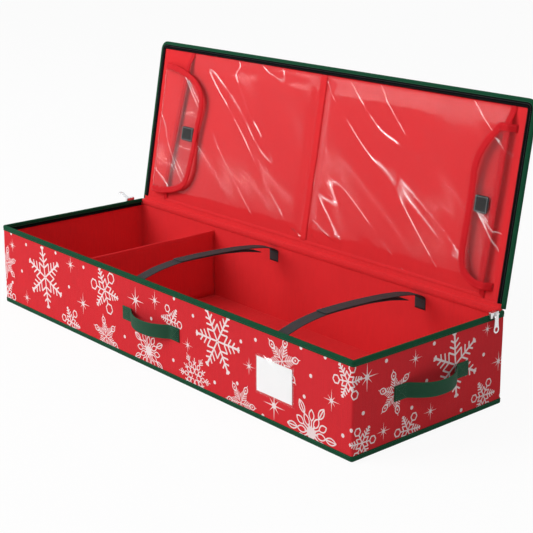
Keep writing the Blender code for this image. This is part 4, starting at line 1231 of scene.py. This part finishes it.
class ORGANIZER_OT_handles(bpy.types.Operator):
    """Sews three webbing handles on, each patch with a boxed cross of stitches"""

    bl_idname = "organizer.handles"
    bl_label = "Handles"

    def execute(self, context):
        rows = (
            ("front", 0.170, 0.026, 0.021, HALF_Y, X, -Y),
            ("right", 0.174, 0.028, 0.027, HALF_X, Y, X),
            ("left", 0.174, 0.028, 0.027, HALF_X, -Y, -X),
        )
        for side, span, patch, bow, face, run, out in rows:
            centre = out * (face - WRAP) + Z * HANDLE_Z
            points = []
            for a, b in handle_line(span, patch, bow):
                sag = -0.0012 * eased(span / 2 - patch - abs(a), 0.0, 0.04)
                points.append(centre + run * a + out * b + Z * sag)
            size, node = (HANDLE_WIDE, HANDLE_THICK), f"{side}_handle"
            web(f"handle_web_{side}", points, Z, *size, "green_webbing", node, wave=0.00015, turn=handle_lean)
            a, b = patch / 2 - 0.0035, 0.0095
            lines = []
            for middle in (patch / 2 - span / 2, span / 2 - patch / 2):

                def place(along, up):
                    return centre + run * (middle + along) + out * 0.0021 + Z * up, out

                lines += shape_lines([(-a, -b), (a, -b), (a, b), (-a, b), (-a, -b), (a, b)], place)
                lines += shape_lines([(-a, b), (a, -b)], place)
            sew(f"handle_stitches_{side}", lines, "web_thread", "base", "handle_green")
        return {"FINISHED"}


class ORGANIZER_OT_label(bpy.types.Operator):
    """Welds the clear label sleeve on three sides over its card"""

    bl_idname = "organizer.label"
    bl_label = "Label sleeve"

    def execute(self, context):
        low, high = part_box("label_sleeve")
        wide, _, rise = high - low
        seam_wide, flat, proud = 0.0025, -(HALF_Y - WRAP) - 0.0006, low.y - 0.0001
        edge = [0.0, 0.0008, 0.0018, 0.0028]
        columns = edge + spread(0.006, wide, 20)
        rows = edge + spread(0.006, rise - 0.006, 12) + [rise - v for v in edge[::-1]]

        def place(a, b):
            off = min(a, b, rise - b)
            up = eased(off, seam_wide - 0.001, seam_wide + 0.0015)
            weld = 0.00025 * exp(-(((off - 0.0013) / 0.0005) ** 2))
            bulge = 0.0004 * eased(off, 0.004, 0.03) * (1 + ripple(a * 40, b * 40, 2.0))
            return Vector((low.x + a, flat + (proud - flat) * up - bulge + weld, low.z + b)), (a, b), 0.0

        sheet("label_sleeve_film", columns, rows, place, "clear_film", "base", -Y, "label_sleeve", 0.0004)
        return {"FINISHED"}


def strap_spot(across, up):
    inner = HALF_Y - LINING
    return (-inner + 2 * inner * across / 100, STRAP_SEWN_TOP + STRAP_RISE * up / 100)


def squashed(obj):
    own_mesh(obj)


class ORGANIZER_OT_straps(bpy.types.Operator):
    """Arches two straps over the compartments, each in two halves that close on each other"""

    bl_idname = "organizer.straps"
    bl_label = "Straps"

    def execute(self, context):
        seat, size = HALF_Y - LINING - 0.0003 - STRAP_THICK / 2, (STRAP_WIDE, STRAP_THICK)
        front = smooth_curve([(-seat, STRAP_SEWN_TOP)] + [strap_spot(*s) for s in STRAP_FRONT], 6)
        rear = [(y, z + 0.0021) for y, z in (strap_spot(*s) for s in STRAP_REAR)]
        rear = smooth_curve(rear + [(seat, STRAP_SEWN_TOP)], 6)
        heights = spread(STRAP_SEWN_TOP - STRAP_TAB, STRAP_SEWN_TOP, 4)
        for side, middle in zip(("left", "right"), STRAP_X):
            for end, run in (("front", front), ("rear", rear)):
                path = [Vector((middle, y, z)) for y, z in run]
                name, node = f"strap_web_{side}_{end}", f"strap_{side}_{end}"
                squashed(web(name, path, X, *size, "strap_webbing", node, wave=0.0002))
            for end, sign in (("front", -1), ("rear", 1)):
                tab = [Vector((middle, sign * seat, z)) for z in heights]
                web(f"strap_tab_{side}_{end}", tab, X, *size, "strap_webbing")
            self.sewn(side, middle, seat, rear)
        return {"FINISHED"}

    def sewn(self, side, middle, seat, rear):
        """Boxes of stitches on the sewn ends, and a hem at the free end that shows on top."""
        lines = []
        for sign in (-1, 1):

            def place(x, z):
                y = sign * (seat - STRAP_THICK / 2 - 0.0002)
                return Vector((middle + x, y, STRAP_SEWN_TOP - STRAP_TAB + z)), Y * -sign

            lines += shape_lines(oblong(-0.009, 0.004, 0.009, 0.017) + [(-0.009, 0.004)], place)
        sew(f"strap_stitches_{side}", lines, "black_thread", "base", "strap_black")
        lines = []
        for y, z in (rear[2], rear[5]):
            lines.append([(Vector((middle + x, y, z + STRAP_THICK / 2 + 0.0001)), Z) for x in (-0.0105, 0.0, 0.0105)])
        squashed(sew(f"strap_hem_stitches_{side}", lines, "black_thread", "base", "strap_black"))


class ORGANIZER_OT_lid(bpy.types.Operator):
    """Covers the lid with printed cloth outside and plain lining inside"""

    bl_idname = "organizer.lid"
    bl_label = "Lid cover and lining"

    def execute(self, context):
        weight = context.scene.organizer_cloth.print_weight
        inset = 0.0012
        outline = [lid_edge(u, inset) for u in lid_stations(LID_BACK + 0.0002, 1.0)][::-1]
        bars, rows = spread(-LID_X, LID_X, 64)[1:-1], spread(0, LID_DEPTH, 22)[1:-1]
        size = (2 * (LID_X - inset), LID_DEPTH - inset)

        def free(x, s, edge):
            return eased(min(LID_X - abs(x), LID_DEPTH - s, s), edge, edge + 0.04)

        def lay_in(x, s):
            wave = 0.0007 * (0.3 + ripple(x * 8, s * 9, 3.1)) + 0.0003 * ripple(x * 25, s * 22, 1.0)
            return lid(x, s, 0.001 - free(x, s, 0.03) * wave)

        made = printed(outline, [], lay_in, bars, rows)
        lining = settle("lid_lining_cloth", made, ("lining_cloth",), "lid", LID_IN, "lid_lining")
        declared(lining, *size, rests_on=("lid_board",))

        def lay_out(x, s):
            wave = 0.0009 * (0.4 + ripple(x * 6, s * 7, 8.8)) + 0.0003 * ripple(x * 20, s * 18, 2.0)
            return lid(-x, s, 0.005 + max(free(x, s, 0.008) * wave, -0.0004))

        shapes = []
        for row in range(3):
            for kind, x, z, r, turn in marks_of(FRONT_PRINT, FRONT_DOTS):
                x = (x + 0.24 * row + 0.515) % 1.03 - 0.515
                shapes += stamp(kind, x, z + 0.165 * row, r, turn + 17 * row, weight)
        made = printed(outline, shapes, lay_out, bars, rows)
        cover = settle("lid_cloth", made, PRINTED, "lid", -LID_IN, "lid_cover")
        declared(cover, *size, rests_on=("lid_board",))
        return {"FINISHED"}


def mouth_x(side, s):
    """Where a pocket's mouth is at height s."""
    share = (s - POCKET_LOW) / (POCKET_HIGH - POCKET_LOW)
    return 0.073 + 0.038 * share - LID_X if side == "left" else LID_X - 0.0465 + 0.0075 * share


def pocket_height(x, s):
    """How far a pocket's sheet stands in from the lining: sewn flat at its edges, then up to its mouth, with slack."""
    side, hook_x, seed = ("left", -0.372, 4.4) if x < STRIP_X else ("right", 0.438, 9.1)
    below, above = s - POCKET_LOW, POCKET_HIGH - s
    up = eased(below, 0.007, 0.03) * eased(above, 0.006, 0.03) * eased(abs(x - STRIP_X) - 0.0095, 0.0, 0.024)
    calm = eased(abs(x - mouth_x(side, s)), 0.012, 0.06) * eased(hypot(x - hook_x, s - PATCH_S), 0.03, 0.06)
    across, along = (x + s) * 0.7071, (x - s) * 0.7071
    slack = max(0.36 * ripple(across * 11, along * 2.6, seed) + 0.24, 0.0) + 0.06 * ripple(across * 30, along * 5, 2.0)
    near = eased(0.05 - min(below, above), 0.0, 0.04)
    pucker = near * 0.12 * max(0.4 + ripple(x * 17, s * 3, 1.0) + 0.5 * ripple(x * 43, s * 6, 8.0), 0.0)
    return POCKET_RISE * up * (1 - calm * min(max(slack + pucker, 0.0), 0.6))


class ORGANIZER_OT_pockets(bpy.types.Operator):
    """Sews two clear pockets into the lid, with a centre strip, a hem and bound mouths"""

    bl_idname = "organizer.pockets"
    bl_label = "Lid pockets"

    def execute(self, context):
        film = context.scene.organizer_cloth.film
        for side, start in (("left", STRIP_X - 0.0002), ("right", STRIP_X + 0.0002)):

            def place(share, s):
                x = start + (mouth_x(side, s) - start) * share
                return lid(x, s, SEAM - pocket_height(x, s) - film), (x, s), 0.0

            shares, rows = spread(0, 1, 72), spread(POCKET_LOW, POCKET_HIGH, 56)
            name, node = f"pocket_film_{side}", f"pocket_{side}"
            film_sheet = sheet(name, shares, rows, place, "clear_film", "lid", LID_IN, node, film)
            wide = [abs(mouth_x(side, s) - start) for s in (POCKET_LOW, POCKET_HIGH)]
            tall = POCKET_HIGH - POCKET_LOW + 0.006
            seams = ("pocket_strip_tape", "pocket_hem_tape")
            declared(film_sheet, max(wide), tall, held="hung", rests_on=seams, area=sum(wide) / 2 * tall)
            self.mouth_tape(side, film)
            pile_patch(f"loop_tape_{side}", SEAM - POCKET_RISE - film - 0.0003, "lid", f"pocket_loop_{side}")
        self.strips(SEAM - film)
        return {"FINISHED"}

    def mouth_tape(self, side, film):
        """Red tape folded over a pocket's mouth."""
        way = 1 if side == "left" else -1

        def spot(s, inset, under, lift):
            x = mouth_x(side, s)
            return lid(x + way * inset, s, SEAM - pocket_height(x + way * under, s) - film + lift)

        def place(s, row):
            j, (inset, lift, wear) = row
            wave = 0.0003 * ripple(s * 50, j * 0.4, 5.0)
            return spot(s, inset, max(inset, 0.0), lift + wave), (s, inset), wear

        marks, rows = spread(POCKET_LOW + 0.003, POCKET_HIGH, 60), list(enumerate(tenths(MOUTH_SECTION)))
        node = f"mouth_binding_{side}"
        sheet(f"mouth_tape_{side}", marks, rows, place, "red_tape", "lid", LID_IN, node, 0.0004)
        marks = spread(POCKET_LOW + 0.004, POCKET_HIGH - 0.002, 60)
        lines = [[(spot(s, inset, inset, -0.0013), LID_IN) for s in marks] for inset in (0.0022, 0.0104)]
        sew(f"mouth_stitches_{side}", lines, "red_thread", "lid", "binding_red")

    def strips(self, z):
        """The centre strip and the hem along the hinge, on films at z."""

        def lay(x, s, along, row, seed):
            j, (across, lift, wear) = row
            return lid(x, s, z - 0.0003 + lift + 0.0002 * ripple(along * 40, j, seed)), (along, across), wear

        def on_strip(s, row):
            return lay(STRIP_X + row[1][0], s, s, row, 7.0)

        def on_hem(x, row):
            return lay(x, POCKET_LOW + row[1][0], x, row, 2.5)

        low_x, high_x = mouth_x("left", POCKET_LOW), mouth_x("right", POCKET_LOW)
        marks, rows = spread(POCKET_LOW + 0.005, POCKET_HIGH - 0.001, 60), list(enumerate(tenths(STRIP_SECTION)))
        sheet("pocket_strip_tape", marks, rows, on_strip, "lining_cloth", "lid", LID_IN, "pocket_strip", 0.0004)
        marks, rows = spread(low_x, high_x, 110), list(enumerate(tenths(HEM_SECTION)))
        sheet("pocket_hem_tape", marks, rows, on_hem, "lining_cloth", "lid", LID_IN, "pocket_hem", 0.0004)
        marks = spread(POCKET_LOW + 0.008, POCKET_HIGH - 0.002, 60)
        lines = [on_lid([(STRIP_X + a, s) for s in marks], z - 0.0013) for a in (-0.0062, 0.0062)]
        marks = spread(low_x + 0.003, high_x - 0.003, 100)
        lines.append(on_lid([(x, POCKET_LOW + 0.0035) for x in marks], z - 0.0013))
        sew("pocket_strip_stitches", lines, "red_thread", "lid", "lining_red")


def pile_patch(name, z, body, node):
    """A patch of hook or loop tape on the lid side: a low pad with rounded corners, sewn round its edge."""
    low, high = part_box(node)
    half_x, half_s, middle = (high.x - low.x) / 2, 0.015, (high.x + low.x) / 2

    def place(a, b):
        edge = max(abs(a), abs(b))
        groove = exp(-(((edge - 0.84) / 0.05) ** 2))
        top = 0.0009 * (1 - eased(edge, 0.86, 1.0)) - 0.00035 * groove
        round_in = 0.0012 * eased(abs(a) + abs(b), 1.7, 2.0)
        x = middle + a * (half_x - round_in)
        return lid(x, PATCH_S + b * (half_s - round_in), z - top), (x, b * half_s), groove

    shares = spread(-1, 1, 14)
    sheet(name, shares, shares, place, "hook_pile", body, LID_IN, node, 0.0006)

    def sewn(a, b, inset=0.0026):
        return lid(middle + a * (half_x - inset), PATCH_S + b * (half_s - inset), z - 0.0008), LID_IN

    lines, stitch = shape_lines(oblong(-1, -1, 1, 1) + [(-1, -1)], sewn), stitch_mesh(0.0028, 0.00045)
    run_of(name + "_stitches", lines, stitch, 0.0034, "patch_thread", body, "hook_black")


def flap_edge(reach, shares, steps=8):
    height = FLAP_HIGH - FLAP_LOW
    return smooth_curve([(reach * (out / 100), FLAP_LOW + height * (up / 100)) for out, up in shares], steps)


def flap_height(out, s, reach):
    """How far a flap stands in from the lining: up a soft ramp from its hinge, then loose, with its edge curling."""
    climb = eased(out, 0.0005, 0.0125)
    wave = eased(out / reach, 0.15, 0.9) * (0.5 + ripple(s * 11, out * 9, 6.6 if reach > 0.1 else 2.9))
    loose = climb * eased(abs(s - PATCH_S), 0.022, 0.07)
    return FLAP_RISE * climb + loose * (0.0032 * max(wave, 0.0) + 0.0004 * ripple(s * 16, out * 34, 1.4))


class ORGANIZER_OT_flaps(bpy.types.Operator):
    """Hinges a clear flap over each pocket's mouth, bound along its free edge"""

    bl_idname = "organizer.flaps"
    bl_label = "Pocket flaps"

    def execute(self, context):
        film = context.scene.organizer_cloth.film
        for side, way, reach, shares in (("left", 1, LEFT_REACH, LEFT_EDGE), ("right", -1, RIGHT_REACH, RIGHT_EDGE)):
            edge, body = flap_edge(reach, shares), f"flap_{side}"

            def place(share, mark):
                out, s = mark.x * share**1.15, mark.y
                return lid(way * (out - FLAP_X), s, SEAM - flap_height(out, s, reach)), (out, s), 0.0

            name = f"flap_film_{side}"
            flap = sheet(name, spread(0, 1, 26), edge, place, "clear_film", body, LID_IN, body, film)
            area = sum((a.x + b.x) / 2 * (b.y - a.y) for a, b in zip(edge, edge[1:]))
            declared(flap, reach, FLAP_HIGH - FLAP_LOW, held="hung", rests_on=(f"hook_tape_{side}",), area=area)
            self.edge_tape(side, way, reach, edge, body)
            pile_patch(f"hook_tape_{side}", SEAM - FLAP_RISE + 0.0012, body, f"flap_hook_{side}")
        return {"FINISHED"}

    def edge_tape(self, side, way, reach, edge, body):
        """Red tape folded over the flap's free edge, from the hinge round to the hinge."""
        out, back = ([Vector((p.x * k / 8, p.y)) for k in range(8)] for p in (edge[0], edge[-1]))
        line_points = out + edge + back[::-1]
        along, last = lengths(line_points), len(line_points) - 1

        def spot(k, inset, lift):
            run = line_points[min(k + 2, last)] - line_points[max(k - 2, 0)]
            p = line_points[k] + Vector((-run.y, run.x)).normalized() * inset
            p.x = max(p.x, 0.0)
            return lid(way * (p.x - FLAP_X), p.y, SEAM - flap_height(p.x, p.y, reach) + lift)

        def place(k, row):
            j, (inset, lift, wear) = row
            wave = 0.00025 * ripple(along[k] * 45, j * 0.5, 3.0)
            return spot(k, inset, lift + wave), (along[k], inset), wear

        rows, node = list(enumerate(tenths(FLAP_SECTION))), f"flap_binding_{side}"
        sheet(f"flap_tape_{side}", range(last + 1), rows, place, "red_tape", body, LID_IN, node, 0.0004)
        lines = [[(spot(k, inset, -0.0014), LID_IN) for k in range(1, last)] for inset in (0.0022, 0.0106)]
        sew(f"flap_stitches_{side}", lines, "red_thread", body, "binding_red")


class ORGANIZER_OT_hardware(bpy.types.Operator):
    """Rounds the sliders' edges and hangs a pierced, tapered puller on each"""

    bl_idname = "organizer.hardware"
    bl_label = "Sliders and pullers"

    def execute(self, context):
        for side, sign, lean in (("left", -1, radians(105)), ("right", 1, 0.0)):
            slider, node = self.slider(side), f"slider_{side}"
            dressed(slider, node, "zip_metal", node)
            down = Vector((sign * sin(lean), 0, -cos(lean)))
            puller, node = self.puller(side, Vector((sign * PULLER_AT, 0.145, 0.168)), down), f"puller_{side}"
            dressed(puller, node, "zip_metal", node)
        return {"FINISHED"}

    def slider(self, side, body_x=0.5206, ends_round=0.0024, edges_round=0.0012):
        """The frame's slider with round ends and soft edges. Its ear, past body_x, keeps its shape."""
        work = bmesh.new()
        work.from_mesh(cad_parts[f"slider_{side}"].data)
        bmesh.ops.remove_doubles(work, verts=work.verts, dist=0.000001)
        bmesh.ops.dissolve_limit(work, angle_limit=radians(2), verts=work.verts, edges=work.edges)
        for upright, offset, segments in ((True, ends_round, 6), (False, edges_round, 4)):
            chosen = []
            for edge in work.edges:
                of_body = all(abs(vert.co.x) < body_x for vert in edge.verts)
                if of_body and edge.calc_face_angle_signed() > radians(60):
                    if (abs(edge.verts[0].co.z - edge.verts[1].co.z) > 0.005) == upright:
                        chosen.append(edge)
            cut = {"offset_type": "OFFSET", "profile": 0.5, "affect": "EDGES", "clamp_overlap": True}
            bmesh.ops.bevel(work, geom=chosen, offset=offset, segments=segments, **cut)
        mesh = bpy.data.meshes.new(f"slider_metal_{side}")
        work.to_mesh(mesh)
        work.free()
        mesh.materials.append(bpy.data.materials["plated_metal"])
        shade(mesh)
        mesh.set_sharp_from_angle(angle=radians(40))
        return linked(f"slider_metal_{side}", mesh)

    def puller(self, side, pivot, down, end=0.0263, radius=0.0064, hole=0.0042):
        """A plate with a round end and a hole in it, rolled into an eye at the top."""
        curve = bpy.data.curves.new(f"puller_{side}_outline", "CURVE")
        curve.dimensions = "2D"
        curve.fill_mode = "BOTH"
        curve.extrude, curve.bevel_depth, curve.bevel_resolution = 0.00045, 0.00025, 1
        edge = tenths(PULLER_EDGE)
        bend = [(radius * cos(a), end + radius * sin(a)) for a in spread(pi, 0, 12)]
        pierced = [(p.x, p.y) for p in circle(Y * end, X, Y, hole, 16)]
        for outline in (edge + bend + [(-a, b) for a, b in edge[::-1]], pierced):
            spline = curve.splines.new("POLY")
            spline.points.add(len(outline) - 1)
            spline.use_cyclic_u = True
            for point, (a, b) in zip(spline.points, outline):
                point.co = (a, b, 0, 1)
        helper = linked(f"puller_{side}_outline", curve)
        mesh = evaluated(helper)
        bpy.data.objects.remove(helper, do_unlink=True)
        work = bmesh.new()
        work.from_mesh(mesh)
        half, flat = PULLER_EYE, PULLER_EYE - 0.0003
        profile = ((-half, 0.0022), (-flat, 0.0024), (flat, 0.0024), (half, 0.0022), (half, 0.0015), (-half, 0.0015))
        tube(work, [circle(X * y, Y, Z, size, 16) for y, size in profile], loop=True)
        out = Y.cross(down)
        for vert in work.verts:
            a, b, c = vert.co
            vert.co = pivot + Y * a + down * b + out * c
        finished(work, mesh)
        mesh.name = f"puller_metal_{side}"
        mesh.materials.clear()
        mesh.materials.append(bpy.data.materials["plated_metal"])
        shade(mesh, False)
        return linked(f"puller_metal_{side}", mesh)


def seen(tree):
    """1 for the camera and for what is mirrored or seen through glass."""
    path = Node(tree, "ShaderNodeLightPath")
    both = (path["Is Camera Ray"] + path["Is Glossy Ray"]).clamped()
    return (both + path["Is Transmission Ray"]).clamped()


def aimed(obj, place, way):
    """Puts a lamp or camera in its place, facing a way."""
    obj.location = place
    obj.rotation_mode = "QUATERNION"
    obj.rotation_quaternion = way.to_track_quat("-Z", "Y")


class ORGANIZER_OT_stage(bpy.types.Operator):
    """Sets the floor, the white surround, two soft lamps and the camera"""

    bl_idname = "organizer.stage"
    bl_label = "Stage"

    def execute(self, context):
        light = context.scene.organizer_light
        self.floor(9)
        self.world(light.surround)
        self.lamp("key_lamp", (-2.3, -3.6, 2.7), (3.4, 3.4), light.key)
        self.lamp("fill_lamp", (3.4, -1.6, 2.2), (2.0, 2.0), light.fill)
        self.lamp("strip_lamp", (-2.1, -1.93, 0.265), (1.5, 0.03), light.strip, 0.265)
        eye = bpy.data.cameras.new("camera")
        camera = linked("camera", eye)
        aimed(camera, (1.8107, -1.4774, 0.8726), Vector((-0.7313, 0.6364, -0.2452)).normalized())
        eye.sensor_width = SENSOR
        eye.lens = SENSOR * FOCAL_PIXELS / FRAME_PIXELS
        eye.shift_y = -0.12
        eye.clip_start, eye.clip_end = 0.05, 60.0
        context.scene.camera = camera
        context.scene.view_settings.view_transform = "Standard"
        return {"FINISHED"}

    def lamp(self, name, place, size, power, aim_z=0.2):
        data = bpy.data.lights.new(name, "AREA")
        data.shape = "RECTANGLE"
        data.size, data.size_y = size
        data.energy = power
        aimed(linked(name, data), place, Vector((0, 0, aim_z)) - Vector(place))

    def floor(self, far, z=-0.0004):
        made = Finish("stage_floor", 0.9)
        made.shader.put({"Base Color": (0.95, 0.95, 0.95)})
        made.show(seen(made.tree) * 0.93, made.shader, Node(made.tree, "ShaderNodeEmission"))
        mesh = bpy.data.meshes.new("stage_floor")
        mesh.from_pydata([(x, y, z) for x, y in oblong(-far, -far, far, far)], [], [(0, 1, 2, 3)])
        mesh.materials.append(made.material)
        linked("stage_floor", mesh)

    def world(self, strength):
        world = bpy.data.worlds.new("surround")
        bpy.context.scene.world = world
        world.use_nodes = True
        tree, white = world.node_tree, (1, 1, 1)
        plain = Node(tree, tree.nodes["Background"], {"Color": white, "Strength": strength})
        bright = Node(tree, "ShaderNodeBackground", {"Color": white})
        both = Node(tree, "ShaderNodeMixShader", {0: seen(tree), 1: plain[0], 2: bright[0]})
        Node(tree, tree.nodes["World Output"], {"Surface": both[0]})


def colour(name, description, *screen):
    default, limits = linear(*screen), {"min": 0.0, "max": 1.0}
    return FloatVectorProperty(name=name, description=description, subtype="COLOR", size=3, default=default, **limits)


def number(name, description, default, low, high, unit="NONE"):
    return FloatProperty(name=name, description=description, default=default, min=low, max=high, unit=unit)


def length(name, description, default, low, high):
    return number(name, description, default, low, high, "LENGTH")


class OrganizerColours(bpy.types.PropertyGroup):
    """Colours of the cloths, tapes and webbing"""

    red_cloth: colour("Printed cloth", "Ground colour of the printed outer cloth", 220, 36, 46)
    print_ink: colour("Print", "Colour of the snowflakes", 254, 243, 243)
    lining: colour("Lining", "Plain cloth inside", 238, 42, 48)
    green_tape: colour("Binding", "Tape over the rim, base and lid edge", 6, 72, 45)
    green_webbing: colour("Handles", "Webbing of the handles", 14, 66, 43)
    red_tape: colour("Pocket binding", "Tape on the pockets and flaps", 222, 18, 32)
    zip_black: colour("Zip", "Zip tape and coil", 11, 10, 13)
    strap: colour("Straps", "Webbing of the straps", 52, 50, 52)
    pile: colour("Hook and loop", "Closure patches of the flaps", 48, 50, 50)
    clearness: number("Film clearness", "Share of light let through by the film, off its creases", 0.995, 0.5, 1.0)


class OrganizerCloth(bpy.types.PropertyGroup):
    """How the cloths hang"""

    slack: length("Slack", "How far the cloth stands off the boards", 0.0008, 0.0, 0.003)
    print_weight: number("Print weight", "Thickness of the print's lines, as a share of the usual", 1.0, 0.5, 2.0)
    film: length("Film", "Thickness of the clear film", 0.0005, 0.0002, 0.001)


class OrganizerSewing(bpy.types.PropertyGroup):
    """Stitches and zip teeth"""

    stitch: length("Stitch", "Length of a stitch", 0.0027, 0.001, 0.006)
    pitch: length("Stitch pitch", "Distance from stitch to stitch", 0.0036, 0.002, 0.01)
    thread: length("Thread", "Half the thread's thickness", 0.00026, 0.0001, 0.001)
    coil_pitch: length("Zip pitch", "Distance from tooth to tooth of the zip", 0.00125, 0.0008, 0.003)


class OrganizerLight(bpy.types.PropertyGroup):
    """Lamps and surround"""

    key: number("Key lamp", "Power of the lamp at the front left", 184.0, 0.0, 2000.0)
    fill: number("Fill lamp", "Power of the lamp at the right", 10.0, 0.0, 2000.0)
    strip: number("Strip lamp", "Power of the low strip that shines in the film", 1.6, 0.0, 200.0)
    surround: number("Surround", "Light from all round", 0.42, 0.0, 2.0)


OPERATORS = (
    ORGANIZER_OT_finishes, ORGANIZER_OT_printed_walls, ORGANIZER_OT_lining, ORGANIZER_OT_bindings, ORGANIZER_OT_zip,
    ORGANIZER_OT_hinge, ORGANIZER_OT_handles, ORGANIZER_OT_label, ORGANIZER_OT_straps, ORGANIZER_OT_lid,
    ORGANIZER_OT_pockets, ORGANIZER_OT_flaps, ORGANIZER_OT_hardware, ORGANIZER_OT_stage,
)
GROUPS = {
    "organizer_colours": OrganizerColours,
    "organizer_cloth": OrganizerCloth,
    "organizer_sewing": OrganizerSewing,
    "organizer_light": OrganizerLight,
}


class ORGANIZER_PT_panel(bpy.types.Panel):
    """Lists the sizes, the colours and the steps that make the organizer"""

    bl_idname = "ORGANIZER_PT_panel"
    bl_label = "Gift Wrap Organizer"
    bl_space_type = "VIEW_3D"
    bl_region_type = "UI"
    bl_category = "Organizer"

    def draw(self, context):
        for attribute, group in GROUPS.items():
            box = self.layout.box()
            for name in group.__annotations__:
                box.prop(getattr(context.scene, attribute), name)
        for step in OPERATORS:
            self.layout.operator(step.bl_idname)


CLASSES = (*GROUPS.values(), *OPERATORS, ORGANIZER_PT_panel)


def register():
    for cls in CLASSES:
        bpy.utils.register_class(cls)
    for attribute, group in GROUPS.items():
        setattr(bpy.types.Scene, attribute, PointerProperty(type=group))


def unregister():
    for attribute in GROUPS:
        delattr(bpy.types.Scene, attribute)
    for cls in reversed(CLASSES):
        bpy.utils.unregister_class(cls)


def main():
    register()
    for step in OPERATORS:
        family, name = step.bl_idname.split(".")
        getattr(getattr(bpy.ops, family), name)()


if __name__ == "__main__":
    main()
